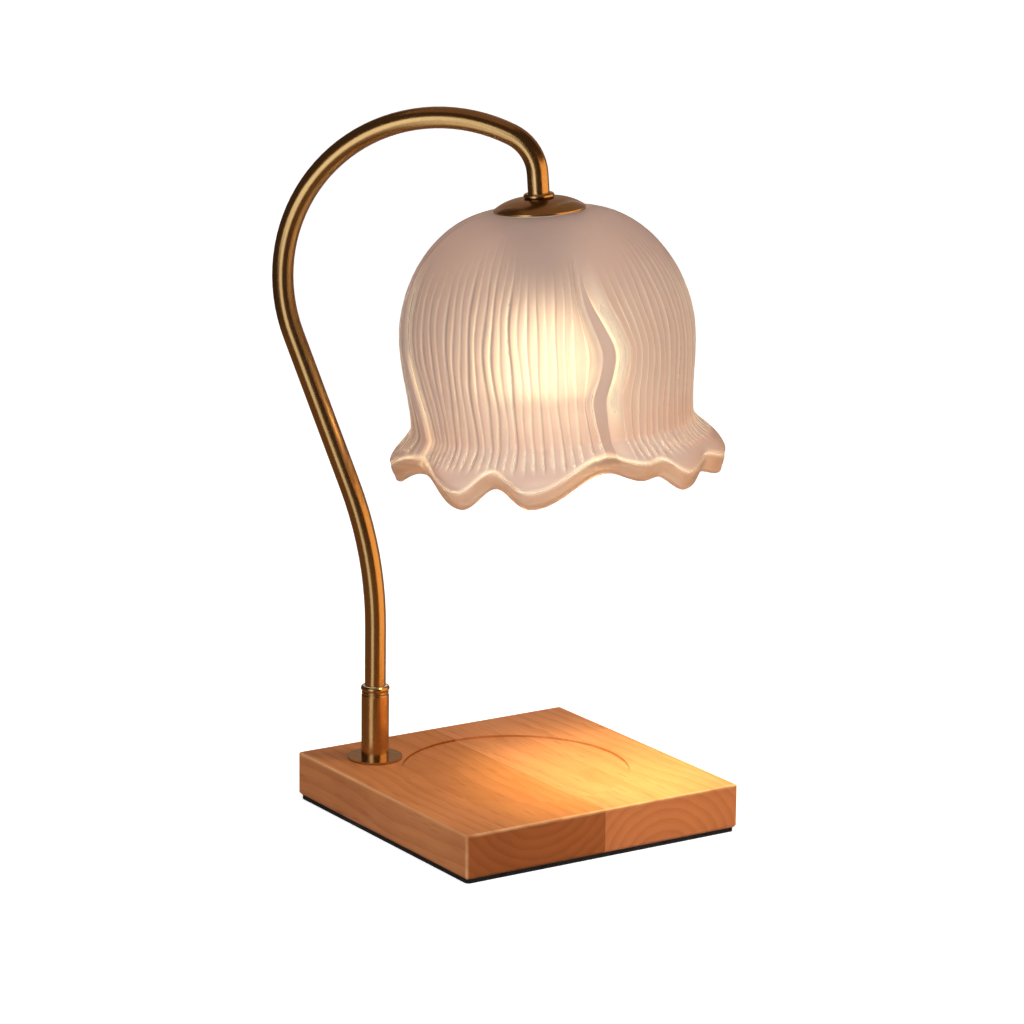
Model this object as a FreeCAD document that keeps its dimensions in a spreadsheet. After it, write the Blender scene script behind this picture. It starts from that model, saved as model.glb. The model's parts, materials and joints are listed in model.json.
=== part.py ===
import FreeCAD, Part
import math
import os

import Sketcher

# Candle warmer lamp: a square wooden base, a swivelling bent brass tube, and a ruffled glass bell
# hung from its end over the candle.  Millimetres, +Z up, origin at the centre of the underside.

doc = FreeCAD.newDocument("candle_warmer_lamp")
Vector = FreeCAD.Vector
Rotation = FreeCAD.Rotation
Placement = FreeCAD.Placement

# ---------------------------------------------------------------- driving dimensions

SIZES = {
    # base board and foot pad
    "base_side": 150, "board_thickness": 21, "pad_thickness": 2, "pad_inset": 1, "pad_corner": 2,
    "corner_round": 1.2, "edge_ease": 0.8, "foot_chamfer": 1.2, "recess_radius": 53.8,
    "recess_depth": 1, "fit_gap": 0.05, "bevel": 0.6,
    # hollow under the board for the nut and the wire joints, and the cord's way out
    "hollow_width": 30, "hollow_length": 56, "hollow_rear_wall": 13, "hollow_depth": 12,
    "hollow_corner": 6, "gland_height": 8.5, "gland_barrel": 4.5, "gland_bore": 3.1,
    "gland_flange": 6.5, "gland_flange_thickness": 1.8, "gland_barb": 5.1, "gland_barb_length": 1.5,
    # post
    "post_inset": 26.65, "flange_radius": 13, "flange_thickness": 1.2, "sleeve_radius": 6.55,
    "sleeve_bore": 5.75, "bead_foot": 56.5, "bead_height": 2.3, "bead_curve": 1.4,
    "bead_groove": 0.35, "groove_low": 54.8, "groove_ring_low": 55.1, "groove_ring_high": 56.1,
    "groove_ring_curve": 0.6, "groove_ramp": 0.6, "sleeve_lip": 6.3,
    "stem_radius": 4.9, "stem_bore": 3.2, "stem_head": 3.3, "stem_end": 7, "stem_hole": 5.2,
    "washer_radius": 10, "washer_thickness": 1.2, "lock_radius": 8.5, "lock_thickness": 0.8,
    "nut_across_flats": 16, "nut_thickness": 4.5, "thrust_thickness": 1.5,
    "bush_bore": 5.05, "lower_bush_length": 12, "upper_bush_length": 10.7, "stop_height": 35,
    "stop_pin_radius": 0.8, "stop_pin_tip": 5.6, "stop_swing": 200, "clip_radius": 5.5,
    "clip_thickness": 1, "clip_groove": 4.5, "clip_play": 0.15, "clip_sweep": 320, "lock_sweep": 350,
    # bent tube and the lead inside it
    "tube_radius": 5, "tube_bore": 4, "riser_top": 87.7, "lean_radius": 187.8, "lean_angle": 21.1,
    "riser_run": 75.5, "crown_radius": 76.8, "crown_angle": 134.9, "drop_radius": 20.7,
    "drop_run": 8.8, "tube_tail": 6.8, "head_tilt": 4.2, "lead_radius": 2, "lead_tail": 9.5,
    "core_radius": 0.9, "core_spread": 1.1, "core_splay": 7, "core_bend": 3.5, "core_reach": 22,
    "tail_bend": 3, "tail_reach": 4.6, "tail_gap": 1.8,
    # joint block for the wires in the base
    "block_reach": 17, "block_length": 15, "block_width": 15, "block_height": 10, "block_pitch": 3.6,
    "block_bore": 1.7, "block_bore_height": 2.6, "well_radius": 1.9, "well_inset": 3.7,
    "well_floor": 3.4, "screw_radius": 1.8, "screw_length": 3.5,
    # cap and lamp holder, as depths below the top of the collar
    "collar_radius": 7.1, "collar_height": 2, "cap_radius": 21.3, "cap_rim": 7.7,
    "cap_wall": 1, "cap_edge": 0.8, "cap_curve": 24, "star_radius": 7, "star_thickness": 0.7,
    "holder_radius": 14, "holder_wall": 1.5, "holder_top": 5.2, "holder_joint": 9,
    "holder_end": 43.5, "holder_lip": 11.7, "holder_shoulder": 11.5, "holder_roof": 1.9,
    "boss_radius": 7.5, "thread_bore": 5.04,
    "insert_radius": 12.4, "insert_top": 17, "insert_face": 42,
    "pin_circle": 5, "pin_head_radius": 2.5, "pin_stem_radius": 1.5, "pin_length": 7,
    "pin_head_length": 3, "slot_gap": 0.3, "chamber_gap": 0.6, "twist_angle": 28,
    "blade_thickness": 1.2, "blade_width": 4, "tab_thickness": 0.8, "tab_width": 5,
    "tab_length": 6.6, "fixing_reach": 8.6, "fixing_radius": 1.2, "fixing_depth": 6,
    "fixing_head_radius": 2.1, "fixing_head_height": 1.4,
    # glass shade and the ring that holds it
    "glass_top": 8.2, "glass_wall": 2.8, "neck_hole": 14.6, "neck_flat": 22, "belly_radius": 68.3,
    "belly_depth": 57.5, "waist_radius": 65.4, "waist_depth": 96, "dome_power": 1.88,
    "lip_radius": 2.2, "gasket_bore": 15, "gasket_radius": 20.6, "lower_gasket_radius": 19,
    "lower_gasket_thickness": 1, "ring_bore": 14.07, "ring_radius": 19.5, "ring_height": 5,
    "ring_grips": 12, "ring_grip_radius": 1.3, "ring_grip_circle": 19.8,
    # bulb
    "bulb_neck": 10.8, "bulb_neck_length": 11, "bulb_radius": 25, "bulb_bowl_length": 30,
    "bulb_taper": 3, "bulb_neck_end": 9, "bulb_throat": 6.6, "bowl_curve": 37.5,
    "bowl_inner_curve": 36.6, "bulb_rim": 2, "bulb_wall": 1.4, "bulb_edge": 0.8,
    "front_glass_thickness": 1.8, "capsule_radius": 4.5, "capsule_length": 17,
    "capsule_wall": 0.9, "filament_radius": 1, "filament_length": 6, "filament_start": 6,
}

sheet = doc.addObject("Spreadsheet::Sheet", "sizes")
for row, (alias, number) in enumerate(SIZES.items(), start=1):
    sheet.set(f"A{row}", alias)
    sheet.set(f"B{row}", str(number))
    sheet.setAlias(f"B{row}", alias)
doc.recompute()


def size(text):
    """The value in millimetres or degrees of an expression over the sheet's aliases."""
    return float(sheet.evalExpression(linked(text)))


def linked(text):
    """The same expression with each alias written as a reference to the sheet."""
    words = []
    word = ""
    for letter in text + " ":
        if letter.isalnum() or letter == "_":
            word += letter
            continue
        words.append(f"sizes.{word}" if word in SIZES else word)
        words.append(letter)
        word = ""
    return "".join(words).strip()


# ---------------------------------------------------------------- helpers

subparts = []


def keep(shape_object, place=None):
    """Registers a finished sub-part and stands it in its place."""
    if place is not None:
        shape_object.Placement = place
    subparts.append(shape_object)
    return shape_object


def new_body(label):
    body = doc.addObject("PartDesign::Body", label)
    body.Label = label
    return body


def new_sketch(body, name, role="XY_Plane", height=None):
    """A sketch on one of its body's own origin planes, lifted along the plane's normal."""
    sketch = body.newObject("Sketcher::SketchObject", name)
    plane = next(item for item in body.Origin.OriginFeatures if item.Role == role)
    sketch.AttachmentSupport = [(plane, "")]
    sketch.MapMode = "FlatFace"
    if height is not None:
        sketch.setExpression("AttachmentOffset.Base.z", linked(height))
    return sketch


def fix_point(sketch, geometry, end, across, along):
    """Ties one end of a sketch line to the sheet, as distances from the sketch's origin."""
    for kind, text, axis in (("DistanceX", across, -2), ("DistanceY", along, -1)):
        number = size(text)
        if abs(number) < 1e-9:
            sketch.addConstraint(Sketcher.Constraint("PointOnObject", geometry, end, axis))
        elif number > 0:
            index = sketch.addConstraint(Sketcher.Constraint(kind, -1, 1, geometry, end, number))
            sketch.setExpression(f"Constraints[{index}]", linked(text))
        else:
            index = sketch.addConstraint(Sketcher.Constraint(kind, geometry, end, -1, 1, -number))
            sketch.setExpression(f"Constraints[{index}]", linked(f"-({text})"))


def arc_between(start, finish, radius):
    """The arc from start to finish; a positive radius turns left, a negative one right."""
    first, last = (start, finish) if radius > 0 else (finish, start)
    chord = last - first
    middle = (first + last) * 0.5
    rise = math.sqrt(radius ** 2 - (chord.Length / 2) ** 2)
    centre = middle + Vector(-chord.y, chord.x, 0).normalize() * rise
    angles = [math.atan2(point.y - centre.y, point.x - centre.x) for point in (first, last)]
    circle = Part.Circle(centre, Vector(0, 0, 1), abs(radius))
    return Part.ArcOfCircle(circle, angles[0], angles[1])


def draw_outline(sketch, points):
    """A closed outline.  Each point is (x, y), or (x, y, radius) when an arc leaves it."""
    corners = [Vector(size(point[0]), size(point[1]), 0) for point in points]
    ends = []
    for index, point in enumerate(points):
        start, finish = corners[index], corners[(index + 1) % len(points)]
        if len(point) == 2:
            geometry = sketch.addGeometry(Part.LineSegment(start, finish), False)
            ends.append((geometry, 1, 2))
            continue
        radius = size(point[2])
        geometry = sketch.addGeometry(arc_between(start, finish, radius), False)
        ends.append((geometry, 1, 2) if radius > 0 else (geometry, 2, 1))
        tie = sketch.addConstraint(Sketcher.Constraint("Radius", geometry, abs(radius)))
        sketch.setExpression(f"Constraints[{tie}]", linked(point[2].lstrip("-")))
    for index, (geometry, start, _) in enumerate(ends):
        previous, _, finish = ends[index - 1]
        sketch.addConstraint(Sketcher.Constraint("Coincident", previous, finish, geometry, start))
        fix_point(sketch, geometry, start, points[index][0], points[index][1])


def draw_circle(sketch, radius, across="0", along="0"):
    centre = Vector(size(across), size(along), 0)
    circle = Part.Circle(centre, Vector(0, 0, 1), size(radius))
    geometry = sketch.addGeometry(circle, False)
    tie = sketch.addConstraint(Sketcher.Constraint("Radius", geometry, size(radius)))
    sketch.setExpression(f"Constraints[{tie}]", linked(radius))
    if across == "0" and along == "0":
        sketch.addConstraint(Sketcher.Constraint("Coincident", geometry, 3, -1, 1))
    else:
        fix_point(sketch, geometry, 3, across, along)


def draw_box(sketch, left, right, front, back):
    draw_outline(sketch, [(left, front), (right, front), (right, back), (left, back)])


def add_feature(body, kind, name, profile, **settings):
    """A PartDesign feature from a sketch.  Text settings become expressions over the sheet."""
    feature = body.newObject(f"PartDesign::{kind}", name)
    feature.Profile = profile
    for key, setting in settings.items():
        if isinstance(setting, str) and key in ("Length", "Angle", "Radius", "Diameter"):
            feature.setExpression(key, linked(setting))
        else:
            setattr(feature, key, setting)
    profile.Visibility = False
    doc.recompute()
    return feature


def cut_feature(body, kind, name, profile, **settings):
    """A pocket or groove that must take material away."""
    before = body.Shape.Volume
    feature = add_feature(body, kind, name, profile, **settings)
    if body.Shape.Volume > before - 1e-3:
        raise RuntimeError(f"{name} cuts nothing")
    return feature


def dress(body, kind, name, setting, edge_test):
    """A fillet or chamfer on the edges of the body that pass the test."""
    base = body.Tip
    edges = [f"Edge{index}" for index, edge in enumerate(base.Shape.Edges, start=1) if edge_test(edge)]
    feature = body.newObject(f"PartDesign::{kind}", name)
    feature.Base = (base, edges)
    feature.setExpression("Radius" if kind == "Fillet" else "Size", linked(setting))
    doc.recompute()
    return feature


def turned(label, outline, place):
    """A part turned on a lathe: its half outline (radius, height) revolved about its axis."""
    body = new_body(label)
    sketch = new_sketch(body, f"{label}_outline", "XZ_Plane")
    draw_outline(sketch, outline)
    add_feature(body, "Revolution", f"{label}_turn", sketch, ReferenceAxis=(sketch, ["V_Axis"]), Angle=360)
    return keep(body, place)


def sleeve_outline(inner, outer, low, high):
    return [(inner, low), (outer, low), (outer, high), (inner, high)]


def solid_cylinder(name, radius, low, high, across="0", along="0"):
    """An upright cylinder between two heights, on an axis at (across, along)."""
    cylinder = doc.addObject("Part::Cylinder", name)
    cylinder.setExpression("Radius", linked(radius))
    cylinder.setExpression("Height", linked(f"({high}) - ({low})"))
    for axis, text in zip("xyz", (across, along, low)):
        cylinder.setExpression(f"Placement.Base.{axis}", linked(text))
    return cylinder


def solid_box(name, left, right, width, low, high):
    """An upright block from left to right, centred across its width."""
    box = doc.addObject("Part::Box", name)
    box.setExpression("Length", linked(f"({right}) - ({left})"))
    box.setExpression("Width", linked(width))
    box.setExpression("Height", linked(f"({high}) - ({low})"))
    for axis, text in zip("xyz", (left, f"-({width})/2", low)):
        box.setExpression(f"Placement.Base.{axis}", linked(text))
    return box


def combine(kind, name, base, tools):
    """A Part boolean of one base and a list of tools."""
    if kind == "Cut":
        tool = tools[0]
        if len(tools) > 1:
            tool = doc.addObject("Part::MultiFuse", f"{name}_tools")
            tool.Shapes = tools
        result = doc.addObject("Part::Cut", name)
        result.Base = base
        result.Tool = tool
    else:
        result = doc.addObject("Part::MultiFuse", name)
        result.Shapes = [base] + tools
    result.Label = name
    return result


def at_end(edge, axis, position):
    """Whether an edge lies whole at one coordinate."""
    return all(abs(getattr(vertex.Point, axis) - position) < 1e-4 for vertex in edge.Vertexes)


def upright(edge):
    first, last = (edge.valueAt(edge.FirstParameter), edge.valueAt(edge.LastParameter))
    return math.hypot(last.x - first.x, last.y - first.y) < 1e-4 < abs(last.z - first.z)


# ---------------------------------------------------------------- the bent tube's route

def tube_route():
    """The centre line of the tube above its foot: straight runs and tangent arcs as (x, z)."""
    lean, crown, tilt = (math.radians(size(name)) for name in ("lean_angle", "crown_angle", "head_tilt"))
    drop = math.pi + lean - tilt - crown
    runs = [("arc", size("lean_radius"), -lean), ("line", size("riser_run")),
            ("arc", size("crown_radius"), crown), ("arc", size("drop_radius"), drop),
            ("line", size("drop_run"))]
    point = Vector(0, size("riser_top"), 0)
    heading = math.pi / 2
    route = [("line", Vector(0, 0, 0), point)]
    for run in runs:
        forward = Vector(math.cos(heading), math.sin(heading), 0)
        if run[0] == "line":
            finish = point + forward * run[1]
            route.append(("line", point, finish))
        else:
            radius, turn = run[1], -run[2]
            side = math.copysign(1, turn)
            centre = point + Vector(-forward.y, forward.x, 0) * (side * radius)
            heading += turn
            forward = Vector(math.cos(heading), math.sin(heading), 0)
            finish = centre - Vector(-forward.y, forward.x, 0) * (side * radius)
            route.append(("arc", point, finish, centre, side))
        point = finish
    return route


route = tube_route()
route_end = route[-1][2]

post_place = Placement(Vector(-size("base_side/2 - post_inset"), size("base_side/2 - post_inset"), 0),
                       Rotation(Vector(0, 0, 1), -45))
head_place = post_place * Placement(Vector(route_end.x, 0, route_end.y),
                                    Rotation(Vector(0, 1, 0), 180 - size("head_tilt")))


def draw_route(sketch, foot, tail):
    """Draws the tube's centre line from a foot height to a tail beyond the visible end."""
    pieces = []
    for kind, start, finish, *arc in route:
        if kind == "line":
            first = Vector(0, size(foot), 0) if start.Length < 1e-9 else start
            last = finish
            if finish == route_end:
                last = finish + (finish - start).normalize() * size(tail)
            pieces.append((sketch.addGeometry(Part.LineSegment(first, last), False), 1, 2))
            continue
        centre, side = arc
        radius = (start - centre).Length
        ordered = (start, finish) if side > 0 else (finish, start)
        angles = [math.atan2(point.y - centre.y, point.x - centre.x) for point in ordered]
        circle = Part.Circle(centre, Vector(0, 0, 1), radius)
        geometry = sketch.addGeometry(Part.ArcOfCircle(circle, *angles), False)
        pieces.append((geometry, 1, 2) if side > 0 else (geometry, 2, 1))
    for before, after in zip(pieces, pieces[1:]):
        tangent = Sketcher.Constraint("Tangent", before[0], before[2], after[0], after[1])
        sketch.addConstraint(tangent)
    riser, lean, run, crown, drop, last = (piece[0] for piece in pieces)
    sketch.addConstraint(Sketcher.Constraint("Vertical", riser))
    fix_point(sketch, riser, 1, "0", foot)
    ties = [("DistanceY", (-1, 1, riser, 2), "riser_top"), ("Radius", (lean,), "lean_radius"),
            ("Distance", (run,), "riser_run"), ("Radius", (crown,), "crown_radius"),
            ("Radius", (drop,), "drop_radius"), ("Distance", (last,), f"drop_run + {tail}"),
            ("Angle", (lean,), "lean_angle"), ("Angle", (crown,), "crown_angle"),
            ("Angle", (drop,), "180 + lean_angle - head_tilt - crown_angle")]
    for kind, items, text in ties:
        number = size(text)
        if kind == "Angle":
            number = math.radians(number)
        tie = sketch.addConstraint(Sketcher.Constraint(kind, *items, number))
        unit = " * 1 deg" if kind == "Angle" else ""
        sketch.setExpression(f"Constraints[{tie}]", f"({linked(text)}){unit}")


def swept(label, foot, tail, radii):
    """A round section, hollow when it has two radii, swept along the tube's centre line."""
    body = new_body(label)
    spine = new_sketch(body, f"{label}_route", "XZ_Plane")
    draw_route(spine, foot, tail)
    section = new_sketch(body, f"{label}_section", "XY_Plane", foot)
    for radius in radii:
        draw_circle(section, radius)
    pipe = add_feature(body, "AdditivePipe", f"{label}_sweep", section)
    pipe.Spine = (spine, [])
    pipe.Mode = "Standard"
    spine.Visibility = False
    doc.recompute()
    length = sum(edge.Length for edge in spine.Shape.Edges)
    area = math.pi * abs(size(radii[0]) ** 2 - (size(radii[1]) ** 2 if len(radii) > 1 else 0))
    if abs(body.Shape.Volume / (area * length) - 1) > 0.002:
        raise RuntimeError(f"{label} has the wrong volume")
    return body


# ---------------------------------------------------------------- levels shared by several parts

BOARD_TOP = "pad_thickness + board_thickness"
FLANGE_TOP = f"{BOARD_TOP} + flange_thickness"
STEM_TOP = f"{FLANGE_TOP} + stem_head"
TUBE_FOOT = f"{STEM_TOP} + thrust_thickness"
HOLLOW_TOP = "pad_thickness + hollow_depth"
WASHER_FACE = f"{HOLLOW_TOP} - washer_thickness"
LOCK_FACE = f"{WASHER_FACE} - lock_thickness"
UPPER_BUSH_FOOT = "bead_foot + bead_height - upper_bush_length"
CLIP_FOOT = f"{UPPER_BUSH_FOOT} - clip_play - clip_thickness"
CAP_UNDERSIDE = "collar_height + cap_wall"
STAR_FACE = f"{CAP_UNDERSIDE} + star_thickness"
GLASS_UNDERSIDE = "glass_top + glass_wall"
RING_TOP = f"{GLASS_UNDERSIDE} + lower_gasket_thickness"
BULB_FACE = "insert_face + 2*fit_gap"
PIN_TIP = f"{BULB_FACE} - pin_length"
POST_ACROSS = "-(base_side/2 - post_inset)"
POST_ALONG = "base_side/2 - post_inset"


# ---------------------------------------------------------------- base

def make_board():
    """Board with the candle's recess, the stem hole, the hollow beneath and the cord hole."""
    body = new_body("wood_base")
    square = new_sketch(body, "board_square")
    draw_box(square, "-base_side/2", "base_side/2", "-base_side/2", "base_side/2")
    add_feature(body, "Pad", "board", square, Length="board_thickness")
    top = size("board_thickness")
    dress(body, "Fillet", "corners", "corner_round",
          lambda edge: not at_end(edge, "z", 0) and not at_end(edge, "z", top))
    dress(body, "Fillet", "top_ease", "edge_ease", lambda edge: at_end(edge, "z", top))
    dress(body, "Chamfer", "foot_bevel", "foot_chamfer", lambda edge: at_end(edge, "z", 0))

    recess = new_sketch(body, "recess_circle", height="board_thickness")
    draw_circle(recess, "recess_radius")
    cut_feature(body, "Pocket", "recess", recess, Length="recess_depth")

    hollow = new_sketch(body, "hollow_outline")
    draw_box(hollow, f"{POST_ACROSS} - hollow_width/2", f"{POST_ACROSS} + hollow_width/2",
             "base_side/2 - hollow_rear_wall - hollow_length", "base_side/2 - hollow_rear_wall")
    cut_feature(body, "Pocket", "hollow", hollow, Length="hollow_depth", Reversed=True)
    rear = size("base_side/2 - hollow_rear_wall")
    front = rear - size("hollow_length")
    dress(body, "Fillet", "hollow_corners", "hollow_corner",
          lambda edge: upright(edge) and (at_end(edge, "y", rear) or at_end(edge, "y", front)))

    stem = new_sketch(body, "stem_circle", height="board_thickness")
    draw_circle(stem, "stem_hole", POST_ACROSS, POST_ALONG)
    cut_feature(body, "Pocket", "stem_way", stem, Type="ThroughAll")

    cord = new_sketch(body, "cord_circle", "XZ_Plane", "-base_side/2")
    draw_circle(cord, "gland_barrel + fit_gap", POST_ACROSS, "gland_height - pad_thickness")
    cut_feature(body, "Pocket", "cord_way", cord, Length="hollow_rear_wall + 1", Reversed=True)
    keep(body, Placement(Vector(0, 0, size("pad_thickness")), Rotation()))


def make_pad():
    body = new_body("base_pad")
    square = new_sketch(body, "pad_square")
    reach = "base_side/2 - pad_inset"
    draw_box(square, f"-({reach})", reach, f"-({reach})", reach)
    add_feature(body, "Pad", "pad", square, Length="pad_thickness")
    top = size("pad_thickness")
    dress(body, "Fillet", "pad_corners", "pad_corner",
          lambda edge: not at_end(edge, "z", 0) and not at_end(edge, "z", top))
    keep(body)


def make_gland():
    """Rubber bush in the board's rear edge that the supply cord passes through."""
    wall_end = "gland_barb_length + hollow_rear_wall"
    outline = [("gland_bore", "0"), ("gland_barb", "0"), ("gland_barb", "gland_barb_length"),
               ("gland_barrel", "gland_barb_length"), ("gland_barrel", wall_end),
               ("gland_flange", wall_end), ("gland_flange", f"{wall_end} + gland_flange_thickness"),
               ("gland_bore", f"{wall_end} + gland_flange_thickness")]
    start = size("base_side/2 - hollow_rear_wall - gland_barb_length")
    place = Placement(Vector(size(POST_ACROSS), start, size("gland_height")), Rotation(Vector(1, 0, 0), -90))
    turned("cord_gland", outline, place)


def make_post():
    """Flange, sleeve with its rolled bead, hollow stem and the hardware under the board."""
    turned("post_flange", sleeve_outline("stem_radius + 2*fit_gap", "flange_radius", BOARD_TOP,
                                         FLANGE_TOP), post_place)
    bead_top = "bead_foot + bead_height"
    waist = "sleeve_radius - bead_groove"
    turned("post_sleeve",
           [("sleeve_bore", FLANGE_TOP), ("sleeve_radius", FLANGE_TOP),
            ("sleeve_radius", "groove_low - groove_ramp"), (waist, "groove_low"),
            (waist, "groove_ring_low", "groove_ring_curve"), (waist, "groove_ring_high"),
            (waist, "bead_foot", "bead_curve"), ("sleeve_lip", bead_top),
            ("sleeve_bore", f"{bead_top} + 2*fit_gap")], post_place)
    turned("post_stem",
           [("stem_bore", "stem_end"), ("stem_radius", "stem_end"), ("stem_radius", FLANGE_TOP),
            ("sleeve_bore - fit_gap", FLANGE_TOP), ("sleeve_bore - fit_gap", STEM_TOP),
            ("stem_bore", STEM_TOP)], post_place)
    turned("post_washer", sleeve_outline("stem_hole", "washer_radius", WASHER_FACE, HOLLOW_TOP),
           post_place)
    split_ring("lock_washer", "stem_radius + 2*fit_gap", "lock_radius", LOCK_FACE, WASHER_FACE,
               "lock_sweep")

    nut_foot = f"{LOCK_FACE} - nut_thickness"
    prism = doc.addObject("Part::Prism", "nut_prism")
    prism.Polygon = 6
    prism.setExpression("Circumradius", linked("nut_across_flats / sqrt(3)"))
    prism.setExpression("Height", linked("nut_thickness"))
    prism.setExpression("Placement.Base.z", linked(nut_foot))
    thread = solid_cylinder("nut_thread", "stem_radius + fit_gap", nut_foot, LOCK_FACE)
    keep(combine("Cut", "post_nut", prism, [thread]), post_place)


def split_ring(label, inner, outer, low, high, sweep):
    """A flat ring with a gap, as a snap ring or a split washer."""
    disc = solid_cylinder(f"{label}_disc", outer, low, high)
    disc.setExpression("Angle", linked(sweep))
    eye = solid_cylinder(f"{label}_eye", inner, low, high)
    return keep(combine("Cut", label, disc, [eye]), post_place)


def make_swivel():
    """The plain bearings that the tube turns in, the ring that holds it down and its stop."""
    turned("thrust_washer", sleeve_outline("stem_bore + slot_gap", "clip_radius", STEM_TOP, TUBE_FOOT),
           post_place)
    bush = turned("lower_bush", sleeve_outline("bush_bore", "sleeve_bore - fit_gap/2", TUBE_FOOT,
                                               f"{TUBE_FOOT} + lower_bush_length"), post_place)
    window = new_sketch(bush, "stop_window", "XZ_Plane")
    half = "(stop_pin_radius + 4*fit_gap)"
    draw_box(window, "bush_bore - 1", "sleeve_bore + 1", f"stop_height - {half}",
             f"stop_height + {half}")
    cut_feature(bush, "Groove", "stop_slot", window, ReferenceAxis=(window, ["V_Axis"]),
                Angle="stop_swing", Midplane=True)
    turned("upper_bush", sleeve_outline("bush_bore", "sleeve_bore - fit_gap/2", UPPER_BUSH_FOOT,
                                        f"{UPPER_BUSH_FOOT} + upper_bush_length"), post_place)
    split_ring("tube_clip", "clip_groove + fit_gap/2", "clip_radius", CLIP_FOOT,
               f"{CLIP_FOOT} + clip_thickness", "clip_sweep")
    pin = doc.addObject("Part::Cylinder", "stop_pin")
    pin.setExpression("Radius", linked("stop_pin_radius"))
    pin.setExpression("Height", linked("stop_pin_tip - tube_bore + slot_gap"))
    doc.recompute()
    keep(pin, post_place * Placement(Vector(size("tube_bore - slot_gap"), 0, size("stop_height")),
                                     Rotation(Vector(0, 1, 0), 90)))


# ---------------------------------------------------------------- wiring

SIDES = [(-1, "a"), (1, "b")]


def bent_wire(name, foot, bend, radius, reach, rise, place):
    """A core that runs straight from its foot, bends outwards and ends at (reach, rise)."""
    body = new_body(name)
    spine = new_sketch(body, f"{name}_route", "XZ_Plane")
    way = math.copysign(1, size(bend) - size(foot))
    start, corner = Vector(0, size(foot), 0), Vector(0, size(bend), 0)
    finish = Vector(size(reach), size(rise), 0)
    curve = size(radius)
    centre = corner + Vector(curve, 0, 0)
    to_finish = finish - centre
    turn = math.atan2(to_finish.y, to_finish.x) + way * math.acos(curve / to_finish.Length)
    touch = centre + Vector(math.cos(turn), math.sin(turn), 0) * curve
    first = spine.addGeometry(Part.LineSegment(start, corner), False)
    circle = Part.Circle(centre, Vector(0, 0, 1), curve)
    angles = sorted([math.pi if way > 0 else -math.pi, turn])
    arc = spine.addGeometry(Part.ArcOfCircle(circle, *angles), False)
    last = spine.addGeometry(Part.LineSegment(touch, finish), False)
    begins, ends = (1, 2) if way < 0 else (2, 1)
    spine.addConstraint(Sketcher.Constraint("Tangent", first, 2, arc, begins))
    spine.addConstraint(Sketcher.Constraint("Tangent", arc, ends, last, 1))
    spine.addConstraint(Sketcher.Constraint("Vertical", first))
    fix_point(spine, first, 1, "0", foot)
    tie = spine.addConstraint(Sketcher.Constraint("DistanceY", -1, 1, first, 2, size(bend)))
    spine.setExpression(f"Constraints[{tie}]", linked(bend))
    tie = spine.addConstraint(Sketcher.Constraint("Radius", arc, curve))
    spine.setExpression(f"Constraints[{tie}]", linked(radius))
    fix_point(spine, last, 2, reach, rise)
    section = new_sketch(body, f"{name}_section", "XY_Plane", foot)
    draw_circle(section, "core_radius")
    pipe = add_feature(body, "AdditivePipe", f"{name}_sweep", section)
    pipe.Spine = (spine, [])
    spine.Visibility = False
    doc.recompute()
    body.Placement = place
    return body


def grouped(label, members):
    """Several like solids kept as one node."""
    group = doc.addObject("Part::Compound", label)
    group.Label = label
    group.Links = members
    doc.recompute()
    return keep(group)


def make_wiring():
    """Jacketed lead in the tube, its two cores in the base and in the holder, and the joints."""
    keep(swept("arm_lead", TUBE_FOOT, "lead_tail", ["lead_radius"]), post_place)

    to_front = Placement(post_place.Base, Rotation(Vector(0, 0, 1), -90))
    corner = "stem_end + core_radius"
    cores = []
    for side, name in SIDES:
        own = Placement(Vector(0, side * size("core_spread"), 0),
                        Rotation(Vector(0, 0, 1), side * size("core_splay")))
        cores.append(bent_wire(f"base_core_{name}", TUBE_FOOT, corner, "core_bend", "core_reach",
                               f"{corner} - core_bend", to_front * own))
    grouped("base_cores", cores)

    block = solid_box("block", "block_reach", "block_reach + block_length", "block_width",
                      "pad_thickness", "pad_thickness + block_height")
    well_foot = "pad_thickness + well_floor"
    screw_foot = f"{well_foot} + fit_gap"
    bores, screws = [], []
    for side, name in SIDES:
        along = f"{side} * block_pitch"
        bore = doc.addObject("Part::Cylinder", f"block_bore_{name}")
        bore.setExpression("Radius", linked("block_bore"))
        bore.setExpression("Height", linked("block_length + 2"))
        bore.Placement = Placement(Vector(size("block_reach - 1"), size(along),
                                          size("pad_thickness + block_bore_height")),
                                   Rotation(Vector(0, 1, 0), 90))
        bores.append(bore)
        for end, across in (("near", "block_reach + well_inset"),
                            ("far", "block_reach + block_length - well_inset")):
            bores.append(solid_cylinder(f"block_well_{name}_{end}", "well_radius", well_foot,
                                        "pad_thickness + block_height + 1", across, along))
            screws.append(solid_cylinder(f"block_screw_{name}_{end}", "screw_radius", screw_foot,
                                         f"{screw_foot} + screw_length", across, along))
    keep(combine("Cut", "terminal_block", block, bores), to_front)
    grouped("terminal_screws", screws).Placement = to_front

    tails = []
    for side, name in SIDES:
        own = Placement(Vector(side * size("core_spread"), 0, 0),
                        Rotation(Vector(0, 0, 1), 90 - side * 90))
        tails.append(bent_wire(f"holder_core_{name}", "lead_tail", "lead_tail + 1", "tail_bend",
                               "tail_reach", "insert_top - tail_gap", head_place * own))
    grouped("holder_cores", tails)


# ---------------------------------------------------------------- arm, cap and lamp holder

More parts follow.
